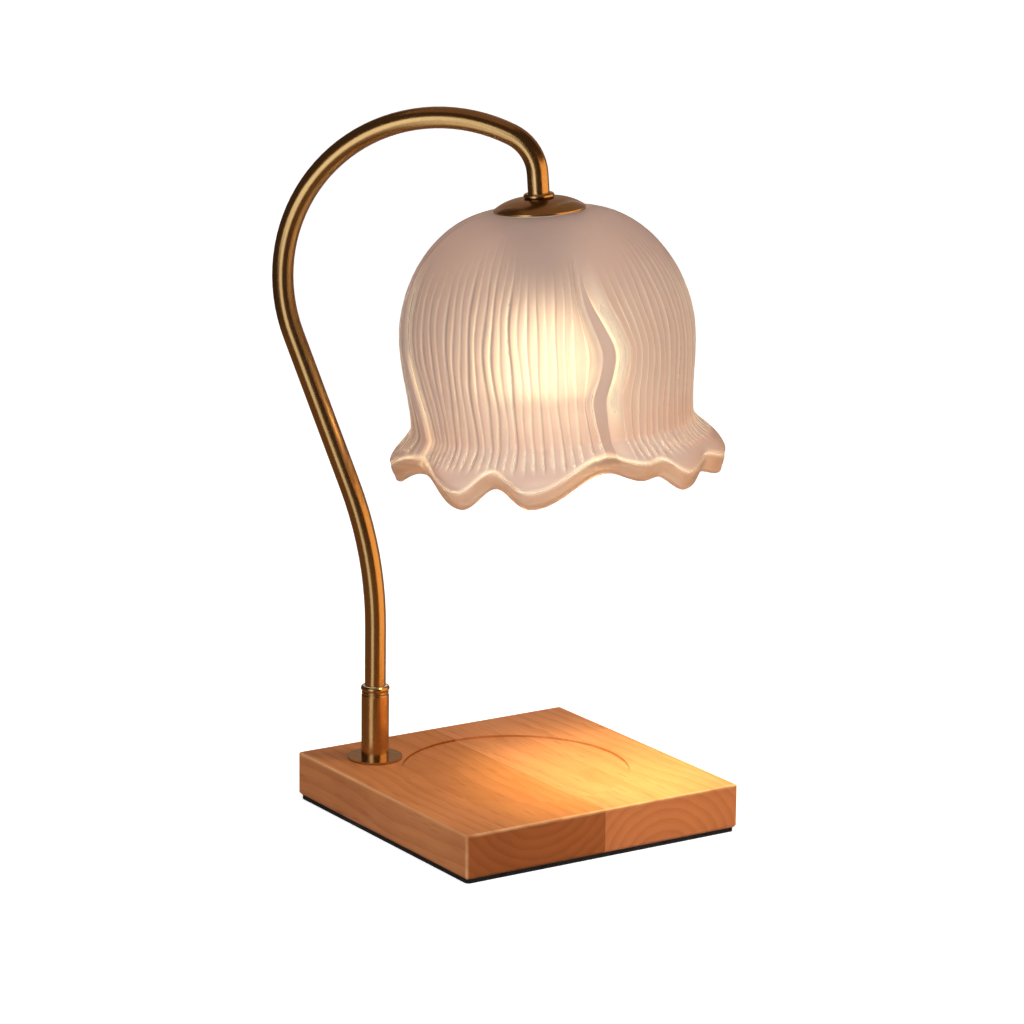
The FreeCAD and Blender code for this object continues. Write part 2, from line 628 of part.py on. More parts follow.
def make_tube():
    tube = swept("arm_tube", TUBE_FOOT, "tube_tail", ["tube_radius", "tube_bore"])
    groove = new_sketch(tube, "clip_groove_outline", "XZ_Plane")
    draw_box(groove, "clip_groove", "tube_radius + 1", f"{CLIP_FOOT} - 0.05",
             f"{CLIP_FOOT} + clip_thickness + 0.05")
    cut_feature(tube, "Groove", "clip_seat", groove, ReferenceAxis=(groove, ["V_Axis"]), Angle=360)
    hole = new_sketch(tube, "stop_hole_circle", "YZ_Plane")
    draw_circle(hole, "stop_pin_radius + 0.03", "0", "stop_height")
    cut_feature(tube, "Pocket", "stop_hole", hole, Length="tube_radius + 2", Reversed=True)
    keep(tube, post_place)


def make_cap():
    """Collar on the tube's end, spun cap, star washer and the two halves of the holder."""
    turned("tube_collar",
           [("thread_bore", "0"), ("collar_radius - bevel", "0"), ("collar_radius", "bevel"),
            ("collar_radius", "collar_height - bevel"), ("collar_radius - bevel", "collar_height"),
            ("thread_bore", "collar_height")], head_place)
    turned("shade_cap",
           [("thread_bore", "collar_height"), ("collar_radius", "collar_height", "cap_curve"),
            ("cap_radius", "cap_rim - cap_edge"), ("cap_radius", "cap_rim"),
            ("cap_radius - cap_wall", "cap_rim", "-(cap_curve - cap_wall)"),
            ("collar_radius", CAP_UNDERSIDE), ("thread_bore", CAP_UNDERSIDE)], head_place)
    turned("star_washer", sleeve_outline("thread_bore", "star_radius", CAP_UNDERSIDE, STAR_FACE),
           head_place)
    outer = "holder_radius - 2*fit_gap"
    ceiling = "holder_top + holder_roof"
    turned("holder_cap",
           [("thread_bore", STAR_FACE), ("boss_radius", STAR_FACE), ("boss_radius", "holder_top"),
            ("holder_shoulder", "holder_top"), (outer, "holder_top + holder_wall"),
            (outer, "holder_joint"), (f"{outer} - holder_wall", "holder_joint"),
            (f"{outer} - holder_wall", ceiling), ("thread_bore", ceiling)], head_place)
    turned("holder_shell",
           [("holder_radius - holder_wall", "holder_joint"), ("holder_radius", "holder_joint"),
            ("holder_radius", "holder_end"), ("holder_lip", "holder_end"),
            ("holder_lip", "insert_face"), ("holder_radius - holder_wall", "insert_face")],
           head_place)


def make_insert():
    """Ceramic insert with its two keyhole slots, the contact blades and their screws."""
    insert = new_body("holder_insert")
    face = new_sketch(insert, "insert_circle", height="insert_top")
    draw_circle(face, "insert_radius")
    add_feature(insert, "Pad", "insert", face, Length="insert_face - insert_top")

    chamber_top = f"{PIN_TIP} - chamber_gap"
    shelf = f"{PIN_TIP} + pin_head_length + chamber_gap"
    wide, narrow = "pin_head_radius + slot_gap", "pin_stem_radius + slot_gap"
    cuts = []
    for name, half, low, high in (("chamber", wide, chamber_top, shelf),
                                  ("throat", narrow, shelf, "insert_face + 1")):
        sector = new_sketch(insert, f"{name}_section", "XZ_Plane")
        draw_box(sector, f"pin_circle - ({half})", f"pin_circle + {half}", low, high)
        cuts.append(cut_feature(insert, "Groove", f"{name}_sweep", sector, Angle="twist_angle",
                                ReferenceAxis=(sector, ["V_Axis"])))
    rounds = [("chamber_lock", wide, "0", shelf, f"{shelf} - ({chamber_top})"),
              ("throat_lock", narrow, "0", "insert_face", f"insert_face - ({shelf})"),
              ("entry", wide, "twist_angle", "insert_face", f"insert_face - ({chamber_top})")]
    for name, radius, angle, height, depth in rounds:
        ring = new_sketch(insert, f"{name}_circle", height=height)
        draw_circle(ring, radius, f"pin_circle * cos({angle})", f"pin_circle * sin({angle})")
        cuts.append(cut_feature(insert, "Pocket", name, ring, Length=depth))

    blade = new_sketch(insert, "blade_slot_outline", height="insert_top")
    half_slot = "(blade_thickness/2 + 4*fit_gap)"
    half_width = "(blade_width/2 + 4*fit_gap)"
    draw_box(blade, f"pin_circle - {half_slot}", f"pin_circle + {half_slot}", f"-{half_width}",
             half_width)
    cuts.append(cut_feature(insert, "Pocket", "blade_slot", blade, Reversed=True,
                            Length=f"{chamber_top} - insert_top + 2*fit_gap"))
    screw = new_sketch(insert, "screw_circle", height="insert_top")
    draw_circle(screw, "fixing_radius + 2*fit_gap", "fixing_reach", "0")
    cuts.append(cut_feature(insert, "Pocket", "screw_hole", screw, Length="fixing_depth + 1",
                            Reversed=True))
    whole = insert.Shape.Volume
    pair = insert.newObject("PartDesign::PolarPattern", "both_pins")
    pair.Originals = cuts
    pair.Axis = (face, ["N_Axis"])
    pair.Angle = 360
    pair.Occurrences = 2
    insert.Tip = pair
    doc.recompute()
    if insert.Shape.Volume > whole - 1:
        raise RuntimeError("the second keyhole is missing")
    keep(insert, head_place)

    tab_face = "insert_top - tab_thickness"
    blades, screws = [], []
    for side, name in SIDES:
        spin = head_place * Placement(Vector(), Rotation(Vector(0, 0, 1), 90 + side * 90))
        left = "pin_circle - blade_thickness/2"
        strip = solid_box(f"strip_{name}", left, f"{left} + blade_thickness", "blade_width", tab_face,
                          f"{PIN_TIP} - 2*fit_gap")
        tab = solid_box(f"tab_{name}", left, f"{left} + tab_length", "tab_width", tab_face,
                        "insert_top")
        eye = solid_cylinder(f"tab_eye_{name}", "fixing_radius + 2*fit_gap", f"{tab_face} - 1",
                             "insert_top + 1", "fixing_reach")
        bent = combine("Fuse", f"strip_and_tab_{name}", strip, [tab])
        blade = combine("Cut", f"contact_{name}", bent, [eye])
        blade.Placement = spin
        blades.append(blade)
        head = solid_cylinder(f"fixing_head_{name}", "fixing_head_radius",
                              f"{tab_face} - fixing_head_height", tab_face, "fixing_reach")
        shank = solid_cylinder(f"fixing_shank_{name}", "fixing_radius", tab_face,
                               "insert_top + fixing_depth", "fixing_reach")
        screw = combine("Fuse", f"contact_screw_{name}", head, [shank])
        screw.Placement = spin
        screws.append(screw)
    grouped("socket_contacts", blades)
    grouped("contact_screws", screws)


# ---------------------------------------------------------------- glass shade

# One petal's edge: degrees on from its seam, depth under the cap's rim, and reach from the axis.
DEEP_PETAL = [(11.5, 113, 72), (34.5, 124.8, 77), (47, 115.5, 72), (61, 123.9, 77)]
LONG_PETAL = [(0, 111, 72), (14, 116.2, 76), (20.5, 116, 74.5), (32, 124.3, 78), (50, 121.4, 74),
              (62.5, 125.1, 79.3)]
TUCKED_PETAL = LONG_PETAL[:-1] + [(62.5, 124, 76.6)]
PETALS = [LONG_PETAL, DEEP_PETAL, TUCKED_PETAL, DEEP_PETAL]
FIRST_SEAM = 238.4
RING_POINTS = 64


def rim_at(turn):
    """Depth and reach of the ruffled rim, as waves between the petals' highs and lows."""
    waves = [(90 * petal + at, depth, reach)
             for petal, edge in enumerate(PETALS) for at, depth, reach in edge]
    waves.append((waves[0][0] + 360, *waves[0][1:]))
    turn %= 360
    for before, after in zip(waves, waves[1:]):
        if before[0] <= turn <= after[0]:
            ease = (1 - math.cos(math.pi * (turn - before[0]) / (after[0] - before[0]))) / 2
            return [first + (second - first) * ease for first, second in zip(before[1:], after[1:])]
    raise ValueError(turn)


def smooth(fraction):
    fraction = min(max(fraction, 0), 1)
    return fraction * fraction * (3 - 2 * fraction)


def bell_point(turn, station):
    """(radius, depth) of the outer surface: 0-1 is the dome, 1-2 the waist, 2-3 the flared skirt."""
    flat, belly, waist = size("neck_flat"), size("belly_radius"), size("waist_radius")
    top, belly_depth, waist_depth = size("glass_top"), size("belly_depth"), size("waist_depth")
    if station <= 1:
        angle = station * math.pi / 2
        power = 2 / size("dome_power")
        return (flat + (belly - flat) * math.sin(angle) ** power,
                top + belly_depth * (1 - math.cos(angle) ** power))
    if station <= 2:
        fall = (1 + math.cos(math.pi * (station - 1))) / 2
        return (waist + (belly - waist) * fall,
                top + belly_depth + (waist_depth - belly_depth) * (station - 1))
    rim_depth, rim_reach = rim_at(turn)
    rim_depth += size("cap_rim") - size("lip_radius")
    start = top + waist_depth
    flare = smooth((station - 2) / 0.7)
    return (waist + (rim_reach - waist) * flare, start + (rim_depth - start) * (station - 2))


def bell_frame(turn, station):
    """Outer point, inward normal and downward tangent in the half plane at one turn."""
    step = 1e-3
    before, after = bell_point(turn, max(station - step, 0)), bell_point(turn, min(station + step, 3))
    along = Vector(after[0] - before[0], after[1] - before[1], 0).normalize()
    if station == 0:
        along = Vector(1, 0, 0)
    inward = Vector(-along.y, along.x, 0)
    return Vector(*bell_point(turn, station), 0), inward, along


def half_wall(station):
    wall = size("glass_wall") / 2
    return wall + (size("lip_radius") - wall) * smooth((station - 2.5) / 0.5)


def make_shade():
    """Blown glass bell, one skin lofted from the neck over the rolled lip and back inside."""
    outside = [0, 0.2, 0.4, 0.6, 0.8, 1, 1.35, 1.7, 2, 2.15, 2.3, 2.45, 2.6, 2.8, 3]
    inside = [2.75, 2.5, 2.3, 2.15, 1.9, 1.4, 1, 0.75, 0.5, 0.25, 0]
    around_lip = [30, 65, 90, 115, 150]

    def section(turn):
        points = []
        for station in outside:
            points.append(bell_frame(turn, station)[0])
        edge, inward, along = bell_frame(turn, 3)
        lip = half_wall(3)
        for angle in around_lip:
            swing = math.radians(angle)
            points.append(edge + inward * lip * (1 - math.cos(swing)) + along * lip * math.sin(swing))
        for station in [3] + inside:
            outer, inward, _ = bell_frame(turn, station)
            points.append(outer + inward * 2 * half_wall(station))
        return points

    turns = [360 * index / RING_POINTS for index in range(RING_POINTS)]
    sections = [section(turn) for turn in turns]
    rings = []
    for ring in range(len(sections[0])):
        points = []
        for turn, points_at_turn in zip(turns, sections):
            azimuth = math.radians(FIRST_SEAM - turn)
            radius, depth = points_at_turn[ring].x, points_at_turn[ring].y
            points.append(Vector(radius * math.cos(azimuth), radius * math.sin(azimuth), depth))
        curve = Part.BSplineCurve()
        curve.interpolate(Points=points, PeriodicFlag=True,
                          Parameters=[index / RING_POINTS for index in range(RING_POINTS + 1)])
        rings.append(Part.Wire([curve.toShape()]))
    skin = Part.makeLoft(rings, False, False)
    faces = list(skin.Faces)
    hole = []
    for ring, depth in ((rings[0], size("glass_top")), (rings[-1], size(GLASS_UNDERSIDE))):
        circle = Part.Wire([Part.makeCircle(size("neck_hole"), Vector(0, 0, depth))])
        hole.append(circle)
        faces.append(Part.makeFace([ring, circle], "Part::FaceMakerBullseye"))
    faces += Part.makeLoft(hole, False, True).Faces
    shell = Part.makeShell(faces)
    shell.sewShape()
    glass = Part.makeSolid(shell)
    if glass.Volume < 0:
        glass.reverse()
    shade = doc.addObject("Part::Feature", "glass_shade")
    shade.Shape = glass
    keep(shade, head_place)


def make_shade_fixings():
    turned("upper_gasket", sleeve_outline("gasket_bore", "gasket_radius", "cap_rim", "glass_top"),
           head_place)
    turned("lower_gasket", sleeve_outline("neck_hole", "lower_gasket_radius", GLASS_UNDERSIDE, RING_TOP),
           head_place)
    ring_foot = f"{RING_TOP} + ring_height"
    ring = turned("shade_ring",
                  [("ring_bore", RING_TOP), ("ring_radius - bevel", RING_TOP),
                   ("ring_radius", f"{RING_TOP} + bevel"), ("ring_radius", f"{ring_foot} - bevel"),
                   ("ring_radius - bevel", ring_foot), ("ring_bore", ring_foot)], head_place)
    grip = new_sketch(ring, "grip_circle", height=ring_foot)
    draw_circle(grip, "ring_grip_radius", "ring_grip_circle", "0")
    notch = cut_feature(ring, "Pocket", "grip", grip, Length="ring_height + 1")
    before = ring.Shape.Volume
    grips = ring.newObject("PartDesign::PolarPattern", "grips")
    grips.Originals = [notch]
    grips.Axis = (grip, ["N_Axis"])
    grips.Angle = 360
    grips.setExpression("Occurrences", linked("ring_grips"))
    ring.Tip = grips
    doc.recompute()
    if ring.Shape.Volume > before - 1:
        raise RuntimeError("the ring's grips are missing")


# ---------------------------------------------------------------- bulb

def make_bulb():
    """Reflector bulb: ceramic base with two headed pins, glass bowl, front glass and capsule."""
    neck_end = f"{BULB_FACE} + bulb_neck_length"
    bowl_end = f"{neck_end} + bulb_bowl_length"
    rim_end = f"{bowl_end} + bulb_rim"
    turned("bulb_base",
           [("0", BULB_FACE), ("bulb_neck - bevel", BULB_FACE), ("bulb_neck", f"{BULB_FACE} + bevel"),
            ("bulb_neck", f"{neck_end} - bulb_taper"), ("bulb_neck_end", neck_end), ("0", neck_end)],
           head_place)
    pins = []
    for side, name in SIDES:
        across = f"{side} * pin_circle"
        shoulder = f"{PIN_TIP} + pin_head_length"
        head = solid_cylinder(f"pin_head_{name}", "pin_head_radius", PIN_TIP, shoulder, across)
        stem = solid_cylinder(f"pin_stem_{name}", "pin_stem_radius", shoulder, BULB_FACE, across)
        pins.append(combine("Fuse", f"pin_{name}", head, [stem]))
    grouped("bulb_pins", pins).Placement = head_place
    inner_rim = "bulb_radius - bulb_wall - bulb_edge"
    turned("bulb_reflector",
           [("bulb_throat", neck_end), ("bulb_neck_end - 4*fit_gap", neck_end, "bowl_curve"),
            ("bulb_radius - bulb_edge", bowl_end), ("bulb_radius", bowl_end),
            ("bulb_radius", rim_end), (inner_rim, rim_end), (inner_rim, bowl_end,
                                                             "-bowl_inner_curve")], head_place)
    glass_end = f"{rim_end} + front_glass_thickness"
    turned("bulb_front_glass",
           [("0", rim_end), ("bulb_radius - slot_gap", rim_end),
            ("bulb_radius - slot_gap", f"{rim_end} + bulb_edge"),
            ("bulb_radius - bulb_wall", glass_end), ("0", glass_end)], head_place)
    tip = f"{neck_end} + capsule_length"
    inner = "(capsule_radius - capsule_wall)"
    turned("bulb_capsule",
           [(inner, neck_end), ("capsule_radius", neck_end),
            ("capsule_radius", f"{tip} - capsule_radius", "capsule_radius"), ("0", tip),
            ("0", f"{tip} - capsule_wall", f"-{inner}"), (inner, f"{tip} - capsule_radius")],
           head_place)
    coil = f"{neck_end} + filament_start"
    turned("bulb_filament", sleeve_outline("0", "filament_radius", coil, f"{coil} + filament_length"),
           head_place)


# ---------------------------------------------------------------- build, check and export

make_board()
make_pad()
make_gland()
make_post()
make_swivel()
make_wiring()
make_tube()
make_cap()
make_insert()
make_shade()
make_shade_fixings()
make_bulb()
doc.recompute()

for item in doc.Objects:
    if "Invalid" in item.State or "Error" in item.State:
        raise RuntimeError(f"{item.Label} failed: {item.State}")

os.makedirs("parts", exist_ok=True)
for subpart in subparts:
    shape = subpart.Shape
    if shape.isNull() or not shape.isValid() or shape.Volume <= 0:
        raise RuntimeError(f"{subpart.Label} has a bad shape")
    shape.exportStep(f"parts/{subpart.Label}.step")
print(len(subparts), "parts written")
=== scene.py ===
"""Candle warmer lamp: its finishes, ribbed glass and lamp parts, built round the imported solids."""

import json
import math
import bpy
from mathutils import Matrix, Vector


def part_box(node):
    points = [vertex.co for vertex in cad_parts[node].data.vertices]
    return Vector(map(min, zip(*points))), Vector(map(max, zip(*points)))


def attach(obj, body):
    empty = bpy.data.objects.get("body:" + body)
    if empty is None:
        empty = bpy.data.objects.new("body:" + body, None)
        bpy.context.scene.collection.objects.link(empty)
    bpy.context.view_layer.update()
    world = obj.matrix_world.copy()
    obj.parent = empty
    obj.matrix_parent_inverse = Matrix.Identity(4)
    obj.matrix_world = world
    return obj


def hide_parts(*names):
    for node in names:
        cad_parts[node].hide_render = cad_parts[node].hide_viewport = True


bl_info = {
    "name": "Candle warmer lamp",
    "version": (1, 0, 0),
    "blender": (4, 5, 0),
    "location": "View3D > Sidebar > Candle lamp",
    "description": "Dresses a candle warmer lamp: wooden base, brass arm, ribbed glass shade and bulb",
    "category": "Object",
}

import bpy
import numpy as np
from bpy.props import FloatProperty, FloatVectorProperty, IntProperty, PointerProperty
from mathutils import Matrix, Vector

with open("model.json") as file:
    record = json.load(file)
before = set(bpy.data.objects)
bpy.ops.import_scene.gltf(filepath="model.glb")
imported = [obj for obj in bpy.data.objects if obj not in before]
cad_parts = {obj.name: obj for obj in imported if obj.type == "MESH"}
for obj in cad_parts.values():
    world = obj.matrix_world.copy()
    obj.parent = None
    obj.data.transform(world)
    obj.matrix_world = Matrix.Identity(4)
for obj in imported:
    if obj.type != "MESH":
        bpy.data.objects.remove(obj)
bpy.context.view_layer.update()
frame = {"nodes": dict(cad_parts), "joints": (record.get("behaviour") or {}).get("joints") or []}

MM = 0.001


# ---------------------------------------------------------------- frames taken from the joints

def joint(name):
    return next(item for item in frame["joints"] if item["name"] == name)


# How far the bulb's joint lies under the top of the collar, down the shade's axis.
COLLAR_TO_BULB_JOINT = 42 * MM


def head_frame():
    """Axes of the lamp head: Z runs down the shade's axis from the top of the collar."""
    twist = joint("bulb_twist")
    down = Vector(twist["axis"]).normalized()
    across = Vector((0, 0, 1)).cross(down).normalized()
    forward = across.cross(down)
    origin = Vector(twist["pos_m"]) - down * COLLAR_TO_BULB_JOINT
    axes = Matrix((forward, across, down)).transposed().to_4x4()
    return Matrix.Translation(origin) @ axes


HEAD = head_frame()


# ---------------------------------------------------------------- settings

def colour_setting(name, description, default):
    return FloatVectorProperty(name=name, description=description, default=default, size=3,
                               subtype="COLOR", min=0, max=1)


def level_setting(name, description, default, high=1.0):
    return FloatProperty(name=name, description=description, default=default, min=0, max=high,
                         subtype="FACTOR" if high == 1.0 else "NONE")


def length_setting(name, description, default):
    return FloatProperty(name=name, description=description, default=default, min=0,
                         subtype="DISTANCE", unit="LENGTH")


class WoodSettings(bpy.types.PropertyGroup):
    early_wood: colour_setting("Early wood", "Pale wood between the rings", (0.43, 0.158, 0.054))
    late_wood: colour_setting("Late wood", "Darker wood of the rings", (0.29, 0.092, 0.028))
    pores: colour_setting("Pores", "Open pores in the face", (0.15, 0.045, 0.014))
    ring_width: length_setting("Ring width", "Distance between two growth rings", 5 * MM)


class BrassSettings(bpy.types.PropertyGroup):
    brass: colour_setting("Brass", "Lacquered antique brass", (0.40, 0.24, 0.085))
    shade: colour_setting("Toned brass", "Deeper tone in patches of the finish", (0.365, 0.21, 0.07))
    polish: level_setting("Roughness", "Roughness of the satin finish", 0.235)


class GlassSettings(bpy.types.PropertyGroup):
    tint: colour_setting("Glass", "Warm tint of the etched glass", (0.66, 0.492, 0.43))
    crest_tint: colour_setting("Crests", "Clearer tint of the rib crests", (0.98, 0.88, 0.73))
    inner_tint: colour_setting("Inside", "Tint of the etched inside", (0.89, 0.77, 0.635))
    frosting: level_setting("Frosting", "Roughness of the etched surfaces", 0.75)
    ribs: IntProperty(name="Ribs", description="Pressed ribs in one petal", default=24, min=8)
    rib_depth: length_setting("Rib depth", "Depth of the flutes between the ribs", 1.05 * MM)
    ribbon_tint: colour_setting("Ribbons", "Tint of the plain ribbons along the seams",
                                (0.57, 0.40, 0.32))
    lip_tint: colour_setting("Lip", "Deeper tint of the thick rolled lip", (0.6, 0.37, 0.24))


class BulbSettings(bpy.types.PropertyGroup):
    glow: colour_setting("Glow", "Colour of the lit bulb", (1.0, 0.87, 0.57))
    brightness: level_setting("Brightness", "Strength of the lit front glass", 43.0, 400.0)


class StageSettings(bpy.types.PropertyGroup):
    key: level_setting("Key light", "Power of the large soft light, in watts", 12.0, 500.0)
    fill: level_setting("Fill", "Strength of the even light all round", 0.5, 10.0)
    beam: level_setting("Bulb beam", "Power of the bulb's own beam, in watts", 0.26, 20.0)


# ---------------------------------------------------------------- node helpers

def wire(tree, node, **settings):
    """Links or sets a node's sockets, whose names are written with underscores for spaces."""
    for name, setting in settings.items():
        socket = node.inputs[name.replace("_", " ")]
        if isinstance(setting, bpy.types.NodeSocket):
            tree.links.new(setting, socket)
        elif socket.type == "RGBA":
            socket.default_value = (*setting[:3], 1)
        else:
            socket.default_value = setting


def add_node(tree, kind, **settings):
    """A shader node; settings name its sockets, or its own properties in lower case."""
    node = tree.nodes.new(f"ShaderNode{kind}")
    for name, setting in settings.items():
        if hasattr(node, name) and name.islower():
            setattr(node, name, setting)
        else:
            wire(tree, node, **{name: setting})
    return node


def maths(tree, operation, *terms):
    """A Math node over sockets and numbers."""
    node = tree.nodes.new("ShaderNodeMath")
    node.operation = operation
    for index, term in enumerate(terms):
        if isinstance(term, bpy.types.NodeSocket):
            tree.links.new(term, node.inputs[index])
        else:
            node.inputs[index].default_value = term
    return node.outputs[0]


def mixed(tree, factor, first, second, mode="MIX"):
    """A colour mix of two sockets or colours."""
    node = tree.nodes.new("ShaderNodeMix")
    node.data_type = "RGBA"
    node.blend_type = mode
    for index, term in ((0, factor), (6, first), (7, second)):
        if isinstance(term, bpy.types.NodeSocket):
            tree.links.new(term, node.inputs[index])
        elif index == 0:
            node.inputs[index].default_value = term
        else:
            node.inputs[index].default_value = (*term[:3], 1)
    return node.outputs[2]


def span(tree, value, low, high, to_low=0.0, to_high=1.0):
    """A value mapped from one range to another and held inside it."""
    node = add_node(tree, "MapRange", Value=value, From_Min=low, From_Max=high, To_Min=to_low,
                    To_Max=to_high)
    return node.outputs["Result"]


def stretched(tree, where, scale):
    """Places scaled along each axis, so that a texture is drawn out along the grain."""
    node = add_node(tree, "VectorMath", operation="MULTIPLY")
    tree.links.new(where, node.inputs[0])
    if isinstance(scale, bpy.types.NodeSocket):
        tree.links.new(scale, node.inputs[1])
    else:
        node.inputs[1].default_value = scale
    return node.outputs[0]


def new_group(name, inputs, outputs):
    """An empty node group with named sockets; inputs are (name, kind, default)."""
    tree = bpy.data.node_groups.new(name, "ShaderNodeTree")
    for label, kind, default in inputs:
        socket = tree.interface.new_socket(label, in_out="INPUT", socket_type=f"NodeSocket{kind}")
        socket.default_value = (*default, 1) if kind == "Color" else default
    for label, kind in outputs:
        tree.interface.new_socket(label, in_out="OUTPUT", socket_type=f"NodeSocket{kind}")
    start = tree.nodes.new("NodeGroupInput")
    end = tree.nodes.new("NodeGroupOutput")
    return tree, start.outputs, end.inputs


def placed(tree, group, **settings):
    """A node group placed in a material with its own values."""
    node = tree.nodes.new("ShaderNodeGroup")
    node.node_tree = bpy.data.node_groups[group]
    wire(tree, node, **settings)
    return node.outputs


def make_cloudy_tone():
    """Soft patches of a deeper tone, as on every finish that isn't perfectly even."""
    tree, given, out = new_group("Cloudy tone", [("Tone", "Color", (0.5, 0.5, 0.5)),
                                                 ("Deep tone", "Color", (0.4, 0.4, 0.4)),
                                                 ("Patches per metre", "Float", 60.0),
                                                 ("Seed", "Float", 0.0)],
                                 [("Colour", "Color"), ("Mask", "Float")])
    where = tree.nodes.new("ShaderNodeTexCoord").outputs["Object"]
    noise = add_node(tree, "TexNoise", noise_dimensions="4D", Vector=where, W=given["Seed"],
                     Scale=given["Patches per metre"], Detail=4.0, Roughness=0.6)
    mask = span(tree, noise.outputs["Fac"], 0.38, 0.66)
    tree.links.new(mixed(tree, mask, given["Tone"], given["Deep tone"]), out["Colour"])
    tree.links.new(mask, out["Mask"])


def make_handled_edges():
    """A mask of the edges that hands and cloths rub, broken up by a fine noise."""
    tree, given, out = new_group("Handled edges", [("Low", "Float", 0.52), ("High", "Float", 0.6),
                                                   ("Breaks per metre", "Float", 900.0)],
                                 [("Mask", "Float")])
    where = tree.nodes.new("ShaderNodeTexCoord").outputs["Object"]
    convex = tree.nodes.new("ShaderNodeNewGeometry").outputs["Pointiness"]
    noise = add_node(tree, "TexNoise", Vector=where, Scale=given["Breaks per metre"], Detail=3.0)
    edges = span(tree, convex, given["Low"], given["High"])
    worn = maths(tree, "MULTIPLY", edges, span(tree, noise.outputs["Fac"], 0.3, 0.6))
    tree.links.new(worn, out["Mask"])


def make_fine_tooth():
    """Fine grain of a moulded, cast or lacquered surface, stretched along one axis if wanted."""
    tree, given, out = new_group("Fine tooth", [("Grains per metre", "Float", 2500.0),
                                                ("Stretch", "Vector", (1.0, 1.0, 1.0))],
                                 [("Height", "Float")])
    where = tree.nodes.new("ShaderNodeTexCoord").outputs["Object"]
    noise = add_node(tree, "TexNoise", Vector=stretched(tree, where, given["Stretch"]),
                     Scale=given["Grains per metre"], Detail=5.0, Roughness=0.65)
    tree.links.new(noise.outputs["Fac"], out["Height"])


def toothed(tree, strength, relief, grains, stretch=(1, 1, 1)):
    """The normal of a surface with a fine tooth."""
    tooth = placed(tree, "Fine tooth", Grains_per_metre=grains, Stretch=stretch)["Height"]
    return add_node(tree, "Bump", Strength=strength, Distance=relief, Height=tooth).outputs[0]


def new_material(name):
    material = bpy.data.materials.new(name)
    material.use_nodes = True
    tree = material.node_tree
    return material, tree, tree.nodes["Principled BSDF"]


def common_finish(name, tone, deep, roughness, metallic=0.0, grains=2500.0, relief=0.02 * MM,
                  worn=None, specular=0.5):
    """A finish with cloudy tone, uneven gloss, a fine tooth and, where worn is given, worn edges."""
    material, tree, shader = new_material(name)
    cloud = placed(tree, "Cloudy tone", Tone=tone, Deep_tone=deep, Patches_per_metre=80.0)
    colour = cloud["Colour"]
    gloss = span(tree, cloud["Mask"], 0, 1, roughness * 0.9, min(roughness * 1.25, 1))
    if worn is not None:
        edges = placed(tree, "Handled edges")["Mask"]
        colour = mixed(tree, edges, colour, worn)
    wire(tree, shader, Base_Color=colour, Roughness=gloss, Metallic=metallic,
         Specular_IOR_Level=specular, Normal=toothed(tree, 1.0, relief, grains))
    return material


def dress(material, *names):
    """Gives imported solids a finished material."""
    for name in names:
        for slot in frame["nodes"][name].material_slots:
            slot.material = material


def new_mesh_object(name, points, faces, material=None):
    mesh = bpy.data.meshes.new(name)
    mesh.from_pydata([tuple(point) for point in points], [], faces)
    mesh.shade_smooth()
    mesh.update()
    piece = bpy.data.objects.new(name, mesh)
    bpy.context.scene.collection.objects.link(piece)
    if material is not None:
        mesh.materials.append(material)
    return piece


# ---------------------------------------------------------------- wooden base

# Each glued strip was sawn round its own heart, given as metres across and up from the base's middle.
LEFT_HEART = (-0.036, 0.045)
RIGHT_HEART = (0.027, -0.012)
LATE_WOOD_SHOWS = 0.42
# How much paler and yellower the right strip is painted, as if lit from the right.
RIGHT_STRIP_PAINTED_LIGHT = (1.72, 2.1, 3.5)
END_GRAIN_TONE = (0.62, 0.43, 0.25)
# Colour of the painted highlight along the board's edges.
PAINTED_EDGE_HIGHLIGHT = (0.80, 0.52, 0.27)


def growth_rings(tree, settings, place, right, rough):
    """A mask of the late wood of each strip's rings, which sway along the grain."""
    heart_x = span(tree, right, 0, 1, LEFT_HEART[0], RIGHT_HEART[0])
    heart_z = span(tree, right, 0, 1, LEFT_HEART[1], RIGHT_HEART[1])
    flow = add_node(tree, "CombineXYZ", X=place["Y"], Y=right).outputs[0]
    bend = add_node(tree, "TexNoise", noise_dimensions="2D", Vector=flow, Scale=7.0, Detail=2.0)
    sway = maths(tree, "MULTIPLY", maths(tree, "SUBTRACT", bend.outputs["Fac"], 0.5), 0.03)
    run_x = maths(tree, "SUBTRACT", maths(tree, "ADD", place["X"], sway), heart_x)
    run_z = maths(tree, "SUBTRACT", place["Z"], heart_z)
    reach = maths(tree, "SQRT", maths(tree, "ADD", maths(tree, "MULTIPLY", run_x, run_x),
                                      maths(tree, "MULTIPLY", run_z, run_z)))
    wander = maths(tree, "MULTIPLY", maths(tree, "SUBTRACT", rough, 0.5), 0.0035)
    rings = maths(tree, "FRACT", maths(tree, "DIVIDE", maths(tree, "ADD", reach, wander),
                                       settings.ring_width))
    return maths(tree, "MULTIPLY", span(tree, rings, 0.35, 0.92), span(tree, rings, 1.0, 0.94))


def open_pores(tree, where, along, end_grain):
    """A mask of short open pores in patches, with none on the end grain."""
    pore = add_node(tree, "TexVoronoi", Vector=stretched(tree, where, (1.0, 0.07, 1.0)), Scale=620.0,
                    Randomness=1.0)
    few = add_node(tree, "TexNoise", Vector=along, Scale=160.0, Detail=2.0)
    pores = maths(tree, "MULTIPLY", span(tree, pore.outputs["Distance"], 0.26, 0.12),
                  span(tree, few.outputs["Fac"], 0.42, 0.56))
    return maths(tree, "MULTIPLY", pores, span(tree, end_grain, 0, 1, 0.6, 0.0))


